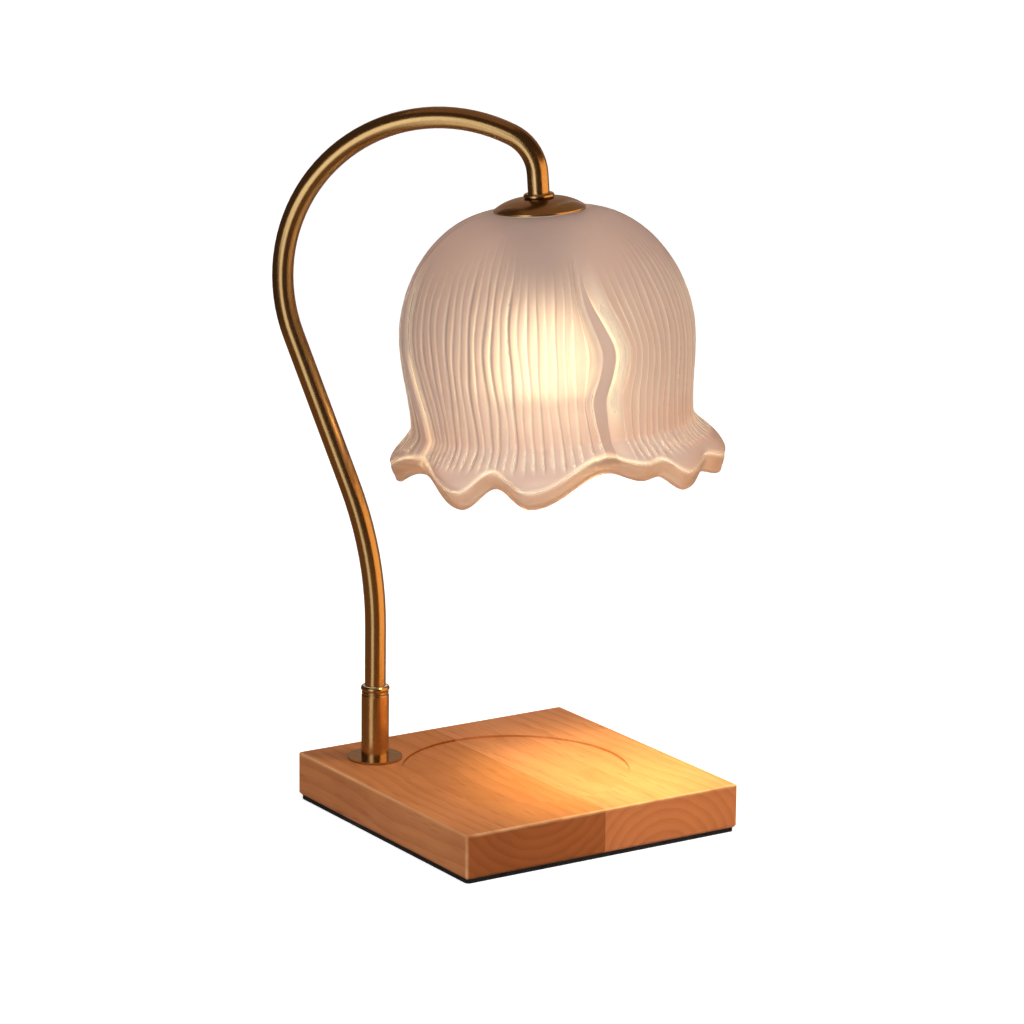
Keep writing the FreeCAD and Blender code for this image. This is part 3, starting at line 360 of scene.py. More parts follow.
def board_edges(tree, place):
    """A mask of the narrow bands along the board's upright edges and round its top, where a highlight is
    painted.
    """
    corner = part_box("wood_base")[1]
    past = [maths(tree, "SUBTRACT", maths(tree, "ABSOLUTE", run), corner[side])
            for side, run in enumerate(place)]
    pairs = [maths(tree, "MINIMUM", past[side], past[side - 1]) for side in range(3)]
    nearest = maths(tree, "MAXIMUM", maths(tree, "MAXIMUM", pairs[0], pairs[1]), pairs[2])
    return span(tree, nearest, -1.5 * MM, -0.1 * MM)


def wood_material(settings):
    """Two glued strips of ring-porous wood with the grain along Y, under satin lacquer, with painted
    light on the right strip and a painted highlight along the edges.
    """
    material, tree, shader = new_material("lacquered wood")
    where = tree.nodes.new("ShaderNodeTexCoord").outputs["Object"]
    place = add_node(tree, "SeparateXYZ", Vector=where).outputs
    right = maths(tree, "GREATER_THAN", place["X"], 0.0)
    along = stretched(tree, where, (1.0, 0.12, 1.0))
    rough = add_node(tree, "TexNoise", Vector=along, Scale=90.0, Detail=4.0).outputs["Fac"]

    late = growth_rings(tree, settings, place, right, rough)
    colour = mixed(tree, maths(tree, "MULTIPLY", late, LATE_WOOD_SHOWS), settings.early_wood,
                   settings.late_wood)
    normal = tree.nodes.new("ShaderNodeNewGeometry").outputs["Normal"]
    facing = add_node(tree, "SeparateXYZ", Vector=normal).outputs
    end_grain = span(tree, maths(tree, "ABSOLUTE", facing["Y"]), 0.5, 0.8)
    colour = mixed(tree, end_grain, colour, END_GRAIN_TONE, "MULTIPLY")
    # Painted light: the right strip is made paler, fully on its end grain and a quarter as much on its
    # other faces.
    lighter = maths(tree, "MULTIPLY", right, span(tree, end_grain, 0, 1, 0.25, 1.0))
    colour = mixed(tree, lighter, colour, RIGHT_STRIP_PAINTED_LIGHT, "MULTIPLY")
    patches = placed(tree, "Cloudy tone", Tone=(1, 1, 1), Deep_tone=(0.82, 0.76, 0.7),
                     Patches_per_metre=14.0, Seed=3.0)
    colour = mixed(tree, 1.0, colour, patches["Colour"], "MULTIPLY")

    fibre = add_node(tree, "TexNoise", Vector=stretched(tree, where, (1.0, 0.035, 1.0)), Scale=1500.0,
                     Detail=3.0).outputs["Fac"]
    colour = mixed(tree, span(tree, fibre, 0.35, 0.75, 0, 0.22), colour, settings.late_wood)
    pores = open_pores(tree, where, along, end_grain)
    colour = mixed(tree, maths(tree, "MULTIPLY", pores, 0.8), colour, settings.pores)
    seam = span(tree, maths(tree, "ABSOLUTE", place["X"]), 0.45 * MM, 0.1 * MM)
    colour = mixed(tree, maths(tree, "MULTIPLY", seam, 0.45), colour, settings.pores)
    # Painted highlight: a paler band along the board's edges, broken up by the grain.
    edge_highlight = maths(tree, "MULTIPLY", board_edges(tree, place), span(tree, rough, 0.3, 0.7, 0.1, 0.6))
    colour = mixed(tree, edge_highlight, colour, PAINTED_EDGE_HIGHLIGHT)

    dull = maths(tree, "ADD", span(tree, fibre, 0.3, 0.7, 0.5, 0.6), maths(tree, "MULTIPLY", pores, 0.2))
    height = maths(tree, "SUBTRACT", maths(tree, "MULTIPLY", fibre, 0.35), pores)
    height = maths(tree, "SUBTRACT", height, seam)
    bump = add_node(tree, "Bump", Strength=0.8, Distance=0.05 * MM, Height=height)
    wire(tree, shader, Base_Color=colour, Roughness=dull, Specular_IOR_Level=0.12,
         Normal=bump.outputs[0])
    return material


class LAMP_OT_wooden_base(bpy.types.Operator):
    """Finishes the board, its foot pad and the cord's rubber bush"""
    bl_idname = "candle_lamp.wooden_base"
    bl_label = "Wooden base"

    def execute(self, context):
        dress(wood_material(context.scene.lamp_wood), "wood_base")
        rubber = common_finish("foam rubber", (0.016, 0.016, 0.016), (0.009, 0.009, 0.009), 0.85,
                               grains=1800.0, relief=0.06 * MM, specular=0.12)
        dress(rubber, "base_pad", "cord_gland")
        return {"FINISHED"}


# ---------------------------------------------------------------- brasswork

RUBBED_BRASS = (0.55, 0.36, 0.16)


def brass_material(settings):
    """Antique brass: fine drawing marks up and down the tube, under a thin clear lacquer."""
    material, tree, shader = new_material("antique brass")
    cloud = placed(tree, "Cloudy tone", Tone=settings.brass, Deep_tone=settings.shade,
                   Patches_per_metre=38.0, Seed=1.0)
    edges = placed(tree, "Handled edges", Low=0.53, High=0.63, Breaks_per_metre=700.0)["Mask"]
    colour = mixed(tree, maths(tree, "MULTIPLY", edges, 0.6), cloud["Colour"], RUBBED_BRASS)
    scuffs = placed(tree, "Fine tooth", Grains_per_metre=450.0)["Height"]
    gloss = span(tree, scuffs, 0.3, 0.7, settings.polish * 0.9, settings.polish * 1.15)
    drawn = toothed(tree, 0.5, 0.008 * MM, 2600.0, (1, 1, 0.08))
    wire(tree, shader, Base_Color=colour, Metallic=1.0, Roughness=gloss, Coat_Weight=0.5,
         Coat_Roughness=0.14, Normal=drawn)
    return material


class LAMP_OT_brasswork(bpy.types.Operator):
    """Finishes the flange, sleeve, bent tube, collar and cap in antique brass"""
    bl_idname = "candle_lamp.brasswork"
    bl_label = "Brasswork"

    def execute(self, context):
        brass = brass_material(context.scene.lamp_brass)
        dress(brass, "post_flange", "post_sleeve", "arm_tube", "tube_collar", "shade_cap")
        return {"FINISHED"}


# ---------------------------------------------------------------- glass shade

# The shade's lengths are in millimetres, and its depths run down from the top of the collar. Those of
# petals, seams and ribs run down from the cap's rim instead.
# One petal's edge: degrees on from its seam, depth, and reach from the axis.
DEEP_PETAL = [(11.5, 113, 72), (34.5, 124.8, 77), (47, 115.5, 72), (61, 123.9, 77)]
LONG_PETAL = [(0, 111, 72), (14, 116.2, 76), (20.5, 116, 74.5), (32, 124.3, 78), (50, 121.4, 74),
              (62.5, 125.1, 79.3)]
TUCKED_PETAL = LONG_PETAL[:-1] + [(62.5, 124, 76.6)]
PETALS = [LONG_PETAL, DEEP_PETAL, TUCKED_PETAL, DEEP_PETAL]
FIRST_SEAM = 238.4

# The wavy seams between petals: depth, and sideways sway in degrees.
FRONT_SEAM = [(0, -2.1), (36, -2.1), (45.6, 0.7), (56.6, 3.5), (68.7, 1.7), (77.3, -0.7), (87.3, -0.1),
              (99.5, 1.5), (107, 1.4), (112, 0.7), (130, 0)]
SIDE_SEAM = [(0, -9.5), (20, -9.5), (48, -6.3), (91, 4.5), (105, 9), (114, 11.5), (130, 13)]

# The bell's outline. Its stations run 0-1 down the dome, 1-2 down the waist and 2-3 down the skirt.
# The belly and the waist are given as the radius, and the depth under the glass's top.
GLASS_TOP = 8.2
CAP_RIM = 7.7
WALL = 2.8
NECK_HOLE = 14.6
NECK_FLAT = 22.0
BELLY = (68.3, 57.5)
WAIST = (65.4, 96.0)
DOME_POWER = 2 / 1.88

# The rolled lip: its radius, how far the skirt curls in to it, and the band where rows lie close.
LIP = 2.2
RIM_CURL = 2.2
LIP_BAND = 9.0
LIP_BAND_START = 2.7
LIP_GLASS_START = 2.78

# The ribs between the plain ribbons. The first flute after a seam is as wide as two of the others.
RIBBON = 2.9
RIBBON_TOP = 16
FIRST_FLUTE = 2
POINTS_PER_RIB = 12
POINTS_PER_RIBBON = 4
RIBS_START = 10
RIBS_END = 104

# Steps by these shares of a turn keep the depth and the shine of neighbouring ribs from repeating.
DEPTH_STEP = 0.381966
SHINE_STEP = 0.2763

# The order of the shade's four materials.
RIBBED, ETCHED, PLAIN_RIBBON, ROLLED_LIP = range(4)


def smooth(fraction):
    fraction = np.clip(fraction, 0, 1)
    return fraction * fraction * (3 - 2 * fraction)


def rim_waves(turns):
    """Depth and reach of the ruffled rim at each turn, in millimetres."""
    waves = [(90 * petal + at, depth, reach)
             for petal, edge in enumerate(PETALS) for at, depth, reach in edge]
    waves.append((waves[0][0] + 360, *waves[0][1:]))
    at = np.array([wave[0] for wave in waves], float)
    after = np.clip(np.searchsorted(at, turns, side="right"), 1, len(waves) - 1)
    before = after - 1
    ease = (1 - np.cos(math.pi * (turns - at[before]) / (at[after] - at[before]))) / 2
    columns = []
    for column in (1, 2):
        numbers = np.array([wave[column] for wave in waves], float)
        columns.append(numbers[before] + (numbers[after] - numbers[before]) * ease)
    return columns


def bell(turns, station):
    """Radius and depth of the outer skin at each turn."""
    ones = np.ones_like(turns)
    if station <= 1:
        angle = station * math.pi / 2
        radius = NECK_FLAT + (BELLY[0] - NECK_FLAT) * math.sin(angle) ** DOME_POWER
        return ones * radius, ones * (GLASS_TOP + BELLY[1] * (1 - math.cos(angle) ** DOME_POWER))
    if station <= 2:
        fall = (1 + math.cos(math.pi * (station - 1))) / 2
        depth = GLASS_TOP + BELLY[1] + (WAIST[1] - BELLY[1]) * (station - 1)
        return ones * (WAIST[0] + (BELLY[0] - WAIST[0]) * fall), ones * depth
    rim_depth, rim_reach = rim_waves(turns)
    start = GLASS_TOP + WAIST[1]
    end = rim_depth + CAP_RIM - LIP
    if station <= LIP_BAND_START:
        depth = start + (end - LIP_BAND - start) * (station - 2) / (LIP_BAND_START - 2)
    else:
        depth = end - LIP_BAND * (3 - station) / (3 - LIP_BAND_START)
    part = (depth - start) / (end - start)
    flared = WAIST[0] + (rim_reach - WAIST[0]) * smooth(part / 0.7)
    return flared - RIM_CURL * smooth((part - 0.7) / 0.3), depth


def bell_frame(turns, station):
    """Outer point, inward normal and downward tangent in the half plane at each turn."""
    step = 1e-3
    before = np.stack(bell(turns, max(station - step, 0)))
    after = np.stack(bell(turns, min(station + step, 3)))
    along = after - before
    along /= np.linalg.norm(along, axis=0)
    if station == 0:
        along = np.stack([np.ones_like(turns), np.zeros_like(turns)])
    inward = np.stack([-along[1], along[0]])
    return np.stack(bell(turns, station)), inward, along


def seam_sway(path, depth):
    """Sideways sway of a seam at each depth, eased through its bends."""
    at, sway = (np.array(column, float) for column in zip(*path))
    slope = np.gradient(sway, at)
    after = np.clip(np.searchsorted(at, depth, side="right"), 1, len(at) - 1)
    before = after - 1
    gap = at[after] - at[before]
    part = np.clip((depth - at[before]) / gap, 0, 1)
    rest = 1 - part
    return (rest * rest * ((1 + 2 * part) * sway[before] + part * gap * slope[before])
            + part * part * ((1 + 2 * rest) * sway[after] - rest * gap * slope[after]))


def shade_columns(ribs):
    """Petal, ribbon lead and share of the ribbed field for every column of points.

    The lead rises from 0 to 1 over the half ribbon before the field and from 1 to 2 after it.
    """
    ribbon = np.arange(POINTS_PER_RIBBON) / POINTS_PER_RIBBON
    field = np.arange(ribs * POINTS_PER_RIB) / (ribs * POINTS_PER_RIB)
    lead = np.concatenate([ribbon, np.ones(len(field)), 1 + ribbon])
    share = np.concatenate([np.zeros(len(ribbon)), field, np.ones(len(ribbon))])
    petal = np.repeat(np.arange(4), len(lead))
    return petal, np.tile(lead, 4), np.tile(share, 4)


def column_turns(columns, depth):
    """Degrees on from the first seam at which each column lies at its depth."""
    petal, lead, share = columns
    front = seam_sway(FRONT_SEAM, depth)
    side = seam_sway(SIDE_SEAM, depth)
    even = petal % 2 == 0
    start = 90 * petal + np.where(even, front, side)
    end = 90 * (petal + 1) + np.where(even, side, front)
    start_sway, end_sway = start - 90 * petal, end - 90 * (petal + 1)
    half = 0.15 + RIBBON * smooth((depth - 12) / 44) * (1 - 0.35 * smooth((depth - 75) / 30))
    sway = start_sway * (1 - smooth(share / 0.36)) + end_sway * smooth((share - 0.9) / 0.1)
    return 90 * petal + sway + half * lead + (90 - 2 * half) * share


def settled_turns(columns, station):
    """Turns of a row whose depth itself depends on the ruffled rim."""
    turns = column_turns(columns, np.full(len(columns[0]), 60.0))
    for _ in range(4):
        turns = column_turns(columns, bell(turns, station)[1] - CAP_RIM)
    return turns


def hump(value, middle, width):
    """1 at the middle and falling off smoothly to either side."""
    return np.exp(-((value - middle) / width) ** 2)


def lip_relief(above_lip):
    """Sink of the skin into the groove over the rolled lip; the lip itself swells outwards."""
    return 0.5 * hump(above_lip, 6.4, 1.0) - 0.45 * hump(above_lip, 2.8, 2.1)


def rib_phase(columns, ribs, depth):
    """The number of the rib at each point, and the part of that rib passed."""
    petal, _, share = columns
    wander = (0.10 * np.sin(2 * math.pi * (share * 2.3 + depth / 61 + petal * 0.37))
              + 0.07 * np.sin(2 * math.pi * (share * 5.1 - depth / 37 + petal * 0.71)))
    phase = share * ribs + wander * np.sin(math.pi * share) ** 0.5
    phase = np.where(share * ribs < FIRST_FLUTE, share * ribs / 2 + 1, phase)
    return np.floor(phase) + petal * ribs, phase - np.floor(phase)


def rib_relief(columns, ribs, depth, rim):
    """Sink of the skin under its full height, and masks of clear crests with painted highlights, painted
    shadow lines and painted glowing lines.
    """
    petal, lead, share = columns
    in_field = lead == 1
    after_seam = share * ribs
    above_lip = rim - LIP - depth
    number, part = rib_phase(columns, ribs, depth)

    flute = 1 - np.abs(2 * part ** 0.72 - 1) ** 2.2
    flute = np.where(in_field & (share > 0), flute, 0)
    beside_seam = 1 - smooth(np.minimum(share, 1 - share) * ribs - 0.5)
    strength = 0.72 + 0.28 * np.sin(2 * math.pi * number * DEPTH_STEP)
    strength = strength + (1.15 - strength) * beside_seam
    start = RIBS_START + 6 * np.sin(2 * math.pi * (share * 1.7 + petal * 0.3)) + 4 * beside_seam
    fade = smooth((depth - start) / 26) * (1 - smooth((depth - RIBS_END) / 5))
    ribbon = np.where(in_field, 0, np.abs(lead - np.where(lead < 1, 0, 2)) ** 3) * 0.4
    sink = np.maximum(flute * strength, ribbon) * fade

    low_down = smooth((depth - 80) / 18)
    shine = 0.35 + 0.65 * np.sin(2 * math.pi * number * SHINE_STEP) ** 2
    # Clearer, smoother glass on the rib crests, which also carries a painted highlight in the crests'
    # colour, brightest on some ribs and in short strokes at the ribs' lower ends.
    clear = np.minimum((1 - flute) ** 1.1 * (shine + hump(depth, 103, 4)), 1)
    clear = np.where(after_seam < FIRST_FLUTE, (0.95 - 0.6 * low_down) * np.sin(math.pi * part) ** 0.6,
                     clear)
    shown = fade * in_field * smooth((above_lip - 7.5) / 2)
    # Painted shadow: a thin dark line just past the top of each rib.
    painted_shadow_line = hump(part, 0.18, 0.1) * shown * strength * (after_seam > FIRST_FLUTE)

    # Painted highlight and glow along the groove over the lip.
    lip_highlight = hump(above_lip, 6.6, 1.0)
    # Painted glow lines along the side seams and, strongest where the rim rises, along the groove over
    # the lip.
    seam = np.where((petal % 2 == 1) & in_field, hump(after_seam, 0.6, 0.4), 0)
    seam = seam * smooth((depth - 54) / 12) * (1 - smooth((depth - 106) / 6))
    saddle = 1 - smooth((rim - 112) / 10)
    return sink, {"crest_and_highlight": np.maximum(clear * shown, lip_highlight), "painted_shadow_line": painted_shadow_line,
                  "lit": np.maximum(seam, lip_highlight * (0.25 + 0.75 * saddle)), "skirt": low_down}


def glass_rows(settings):
    """Closed rows of points from the neck down the outside, round the lip and up the inside.

    Each row comes with the material of every face under it and with its masks.
    """
    columns = shade_columns(settings.ribs)
    around = len(columns[0])
    in_ribbon = columns[1] != 1
    rib_depth = settings.rib_depth / MM
    ones, nothing = np.ones(around), np.zeros(around)
    rows = []

    def keep_row(turns, point, material, marks=None):
        azimuth = np.radians(FIRST_SEAM - turns)
        points = np.stack([point[0] * np.cos(azimuth), point[0] * np.sin(azimuth), point[1]], axis=1)
        marks = marks or {name: nothing for name in ("crest_and_highlight", "painted_shadow_line", "lit", "skirt")}
        rows.append((points, np.broadcast_to(material, around), marks))

    turns = settled_turns(columns, 0)
    keep_row(turns, (ones * NECK_HOLE, ones * (GLASS_TOP + WALL)), ETCHED)
    keep_row(turns, (ones * NECK_HOLE, ones * GLASS_TOP), RIBBED)
    outside = [np.linspace(0, 1, 34), np.linspace(1, 2, 26)[1:], np.linspace(2, LIP_BAND_START, 18)[1:],
               np.linspace(LIP_BAND_START, 3, 18)[1:]]
    for station in np.concatenate(outside):
        turns = settled_turns(columns, station)
        point, inward, _ = bell_frame(turns, station)
        depth = point[1] - CAP_RIM
        rim = rim_waves(turns)[0]
        sink, marks = rib_relief(columns, settings.ribs, depth, rim)
        skin = point + inward * (sink * rib_depth + lip_relief(rim - LIP - depth))
        ribbon = in_ribbon & (depth > RIBBON_TOP) & (station < LIP_GLASS_START)
        ribbon = ribbon | (np.roll(ribbon, -1) & in_ribbon)
        rest = RIBBED if station < LIP_GLASS_START else ROLLED_LIP
        keep_row(turns, skin, np.where(ribbon, PLAIN_RIBBON, rest), marks)
    turns = settled_turns(columns, 3)
    edge, inward, along = bell_frame(turns, 3)
    for swing in np.radians(np.linspace(0, 180, 13)[1:-1]):
        roll = inward * LIP * (1 - math.cos(swing)) + along * LIP * math.sin(swing)
        keep_row(turns, edge + roll, ROLLED_LIP)
    inside = [np.linspace(3, 2, 18), np.linspace(2, 1, 10)[1:], np.linspace(1, 0, 18)[1:]]
    for station in np.concatenate(inside):
        turns = settled_turns(columns, station)
        point, inward, _ = bell_frame(turns, station)
        thick = WALL / 2 + (LIP - WALL / 2) * smooth((station - 2.5) / 0.5)
        keep_row(turns, point + inward * 2 * thick, ETCHED)
    return rows


def build_glass(settings, materials):
    """The bell as one closed skin: ribbed outside, rolled lip, plain etched inside."""
    rows, face_materials, masks = zip(*glass_rows(settings))
    axes = np.array(HEAD)
    points = np.concatenate(rows) * MM @ axes[:3, :3].T + axes[:3, 3]
    here = np.arange(len(rows[0]))
    after = np.roll(here, -1)
    faces = []
    for row in range(len(rows)):
        start, below = row * len(here), (row + 1) % len(rows) * len(here)
        faces.append(np.stack([start + here, below + here, below + after, start + after], axis=1))
    shade = new_mesh_object("ribbed_glass_shade", points.tolist(), np.concatenate(faces).tolist())
    mesh = shade.data
    for material in materials:
        mesh.materials.append(material)
    mesh.polygons.foreach_set("material_index", np.concatenate(face_materials).astype(np.int32))
    for name in masks[0]:
        shares = np.concatenate([marks[name] for marks in masks])
        mesh.attributes.new(name, "FLOAT", "POINT").data.foreach_set("value", shares)
    return shade


# Painted warm light: from the waist down the glass colour is multiplied by this, for the bulb's light in
# the thick skirt.
PAINTED_SKIRT_WARMTH = (0.96, 0.88, 0.83)

# Painted glow: emission standing in for the bulb's light that the thick glass gathers along the lip and
# the side seams.
PAINTED_GLOW = (1.0, 0.72, 0.36)
PAINTED_GLOW_LEVEL = 0.42


def glass_material(name, tint, crest_tint, roughness, crest_roughness, transmission):
    """Warm glass with an etched surface; the crests of its ribs are clearer than its flutes and carry
    painted highlights, with painted shadow lines beside them and a painted glow along the lit lines.
    """
    material, tree, shader = new_material(name)
    crest_and_highlight, painted_shadow_line, lit, skirt = (add_node(tree, "Attribute", attribute_name=mask).outputs["Fac"]
                               for mask in ("crest_and_highlight", "painted_shadow_line", "lit", "skirt"))
    cloud = placed(tree, "Cloudy tone", Tone=tint, Deep_tone=tuple(channel * 0.93 for channel in tint),
                   Patches_per_metre=22.0, Seed=7.0)
    colour = mixed(tree, crest_and_highlight, cloud["Colour"], crest_tint)
    colour = mixed(tree, painted_shadow_line, colour, tuple(channel * 0.5 for channel in tint))
    colour = mixed(tree, skirt, colour, PAINTED_SKIRT_WARMTH, "MULTIPLY")
    painted_glow = mixed(tree, lit, (0, 0, 0), PAINTED_GLOW)
    gloss = span(tree, crest_and_highlight, 0, 1, roughness, crest_roughness)
    wire(tree, shader, Base_Color=colour, Roughness=gloss, IOR=1.4, Transmission_Weight=transmission,
         Subsurface_Weight=0.4, Subsurface_Radius=(1.0, 0.92, 0.85), Subsurface_Scale=3 * MM,
         Emission_Color=painted_glow, Emission_Strength=PAINTED_GLOW_LEVEL,
         Normal=toothed(tree, 0.6, 0.01 * MM, 1400.0))
    return material


class LAMP_OT_glass_shade(bpy.types.Operator):
    """Builds the ribbed, ruffled glass bell and finishes its two gaskets"""
    bl_idname = "candle_lamp.glass_shade"
    bl_label = "Glass shade"

    def execute(self, context):
        settings = context.scene.lamp_glass
        crest_and_highlight, frosting = settings.crest_tint, settings.frosting
        ribbed = glass_material("pressed glass", settings.tint, crest_and_highlight, frosting * 0.7,
                                frosting * 0.3, 0.6)
        etched = glass_material("etched glass", settings.inner_tint, crest_and_highlight, frosting * 0.8,
                                frosting * 0.8, 0.8)
        ribbon = glass_material("seam ribbon", settings.ribbon_tint, settings.ribbon_tint, frosting,
                                frosting, 0.1)
        lip = glass_material("rolled lip", settings.lip_tint, crest_and_highlight, 0.4, 0.15, 0.5)
        shade = build_glass(settings, [ribbed, etched, ribbon, lip])
        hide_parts("glass_shade")
        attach(shade, "shade")
        rubber = common_finish("clear silicone", (0.74, 0.68, 0.62), (0.66, 0.6, 0.54), 0.5,
                               grains=900.0, relief=0.03 * MM)
        dress(rubber, "upper_gasket", "lower_gasket")
        return {"FINISHED"}


# ---------------------------------------------------------------- bulb and lamp holder

def glowing(name, settings, strength, tone, roughness, transmission=0.0, metallic=0.0):
    """A lit surface, with slightly dimmer patches as on heated glass and metal."""
    material, tree, shader = new_material(name)
    deep_tone = tuple(channel * 0.85 for channel in tone)
    cloud = placed(tree, "Cloudy tone", Tone=tone, Deep_tone=deep_tone, Patches_per_metre=120.0,
                   Seed=5.0)
    dim_glow = tuple(channel * 0.8 for channel in settings.glow)
    warm = placed(tree, "Cloudy tone", Tone=settings.glow, Deep_tone=dim_glow, Patches_per_metre=90.0,
                  Seed=6.0)
    wire(tree, shader, Base_Color=cloud["Colour"], Roughness=roughness, Metallic=metallic,
         Transmission_Weight=transmission, Emission_Color=warm["Colour"], Emission_Strength=strength)
    return material


class LAMP_OT_bulb(bpy.types.Operator):
    """Finishes the lit reflector bulb"""
    bl_idname = "candle_lamp.bulb"
    bl_label = "Bulb"

    def execute(self, context):
        settings = context.scene.lamp_bulb
        level = settings.brightness
        dress(glowing("lit front glass", settings, level, (0.9, 0.9, 0.88), 0.15), "bulb_front_glass")
        dress(glowing("reflector", settings, level / 12, (0.85, 0.85, 0.85), 0.2, metallic=1.0),
              "bulb_reflector")
        dress(glowing("lit capsule", settings, level / 2, (0.95, 0.95, 0.95), 0.05, transmission=1.0),
              "bulb_capsule")
        dress(glowing("filament", settings, level * 4, (1.0, 0.8, 0.5), 0.4), "bulb_filament")
        ceramic = common_finish("unglazed ceramic", (0.84, 0.82, 0.77), (0.74, 0.71, 0.64), 0.6,
                                grains=1500.0, relief=0.03 * MM)
        dress(ceramic, "bulb_base", "holder_insert")
        pins = common_finish("nickel brass", (0.66, 0.55, 0.33), (0.5, 0.4, 0.22), 0.3, metallic=1.0)
        dress(pins, "bulb_pins", "socket_contacts")
        return {"FINISHED"}


class LAMP_OT_lamp_holder(bpy.types.Operator):
    """Finishes the black lamp holder and the ring that clamps the shade"""
    bl_idname = "candle_lamp.lamp_holder"
    bl_label = "Lamp holder"

    def execute(self, context):
        black = common_finish("moulded phenolic", (0.028, 0.024, 0.02), (0.018, 0.015, 0.013), 0.38,
                              grains=1600.0, relief=0.03 * MM, worn=(0.08, 0.07, 0.06))
        dress(black, "holder_cap", "holder_shell", "shade_ring")
        return {"FINISHED"}


class LAMP_OT_hardware(bpy.types.Operator):
    """Finishes the washers, nut, bushes, wires and screws"""
    bl_idname = "candle_lamp.hardware"
    bl_label = "Hardware"

    def execute(self, context):
        steel = common_finish("zinc plated steel", (0.56, 0.56, 0.54), (0.42, 0.42, 0.42), 0.3,
                              metallic=1.0, grains=900.0, relief=0.02 * MM, worn=(0.7, 0.7, 0.68))
        dress(steel, "post_stem", "post_washer", "lock_washer", "post_nut", "terminal_screws",
              "tube_clip", "stop_pin", "star_washer", "contact_screws")
        nylon = common_finish("natural nylon", (0.78, 0.76, 0.69), (0.68, 0.65, 0.57), 0.42,
                              grains=700.0, relief=0.03 * MM)
        dress(nylon, "thrust_washer", "lower_bush", "upper_bush", "terminal_block")
        jacket = common_finish("silicone jacket", (0.1, 0.085, 0.075), (0.06, 0.05, 0.045), 0.5,
                               grains=1200.0, relief=0.03 * MM)
        dress(jacket, "base_cores", "arm_lead", "holder_cores")
        return {"FINISHED"}


# ---------------------------------------------------------------- stage

def seen_directly(tree):
    """1 for rays that show the background itself: from the camera, off metal, through glass."""
    path = tree.nodes.new("ShaderNodeLightPath").outputs
    seen = maths(tree, "ADD", path["Is Camera Ray"], path["Is Glossy Ray"])
    return maths(tree, "MINIMUM", maths(tree, "ADD", seen, path["Is Transmission Ray"]), 1.0)


# Bearings round the lamp are degrees to the left of its front corner, seen from in front of it.
FRONT = Vector((-0.549, -0.836, 0))
LEFT = Vector((-0.836, 0.549, 0))
MIDDLE = Vector((0, 0, 0.18))

KEY_LIGHT = {"left": 8, "up": 18, "distance": 1.6, "width": 1.4}
TOP_LIGHT = {"left": -40, "up": 62, "distance": 1.6, "width": 0.9}
TOP_LIGHT_SHARE = 0.62

# The bulb's beam starts just under the front glass and leans away from the post.
BEAM_DEPTH = 87.5 * MM
BEAM_WIDTH = 44 * MM
BEAM_SPREAD = math.radians(60)
BEAM_LEAN = math.radians(-14)
BEAM_COLOUR = (1.0, 0.95, 0.44)

# The camera stands in front of the lamp: its place, its lens, and its degrees of yaw, dip and roll.
CAMERA_PLACE = (-1.0046, -1.5287, 0.5918)
CAMERA_TURNS = (-33.211, 13.658, 0.680)
LENS = 142.377
SENSOR_WIDTH = 36

FLOOR_REACH = 6.0

# The cards stand round the arm. They are what its polished brass mirrors.
ARM_MIDDLE = Vector((-0.04, 0.04, 0))
CARD_REACH = 0.45
OUTER_REACH = 0.46
CARD_FOOT = 0.001
CARD_TOP = 1.2
CARD_STEP = 6

DIM = (0.09, 0.055, 0.04)
DUSKY = (0.26, 0.135, 0.06)
BRIGHT = (0.86, 0.9, 0.93)
WARM_WHITE = (1, 0.8, 0.68)
BROWN = (0.34, 0.21, 0.14)
AMBER = (1, 0.58, 0.25)


def standing(low, top):
    """The outline of a card that stands at the cards' reach, as (reach, height)."""
    return [(CARD_REACH, low), (CARD_REACH, top)]


def from_floor(near, top):
    """The outline of a card that lies on the floor from near the lamp and then stands up."""
    return [(near, CARD_FOOT), *standing(CARD_FOOT, top)]


NEAR_FLOOR = [(0.03, CARD_FOOT), (0.2, CARD_FOOT)]
# The dusky card lies under the others, and the dim one stands behind them.
UNDER_OTHERS = [(0.03, CARD_FOOT / 2), (OUTER_REACH, CARD_FOOT / 2), (OUTER_REACH, 0.06)]
BEHIND_OTHERS = [(OUTER_REACH, 0.06), (OUTER_REACH, CARD_TOP)]

# Each card's bearings from and to, outline, colour and level.
CARDS = {"bright_floor_card": (50, 24, NEAR_FLOOR, WARM_WHITE, 1.3),
         "bright_low_card": (44, 19, from_floor(0.2, 0.15), BRIGHT, 1.9),
         "bright_side_card": (41, 14, standing(0.15, 0.22), BRIGHT, 2.4),
         "bright_upper_card": (60, 16, standing(0.22, 0.34), BRIGHT, 2.5),
         "bright_high_card": (46, 6, standing(0.34, 0.46), BRIGHT, 2.4),
         "dusky_low_card": (160, -46, UNDER_OTHERS, DUSKY, 1.0),
         "dim_card": (160, -46, BEHIND_OTHERS, DIM, 1.0),
         "amber_floor_card": (-46, -114, NEAR_FLOOR, AMBER, 1.0),
         "amber_card": (-46, -114, from_floor(0.2, 0.40), AMBER, 2.2),
         "dim_right_card": (-46, -114, standing(0.40, CARD_TOP), DIM, 1.0),
         "brown_rear_card": (200, 161, from_floor(0.03, CARD_TOP), BROWN, 1.0),
         "brown_back_card": (-114, -159, from_floor(0.03, CARD_TOP), BROWN, 1.0)}


def bearing(left):
    """The level direction so many degrees to the left of the lamp's front corner."""
    turn = math.radians(left)
    return FRONT * math.cos(turn) + LEFT * math.sin(turn)


def towards(left, up, distance):
    """A place round the lamp: degrees to the left of its front corner, degrees up, and metres."""
    rise = math.radians(up)
    return MIDDLE + (bearing(left) * math.cos(rise) + Vector((0, 0, math.sin(rise)))) * distance


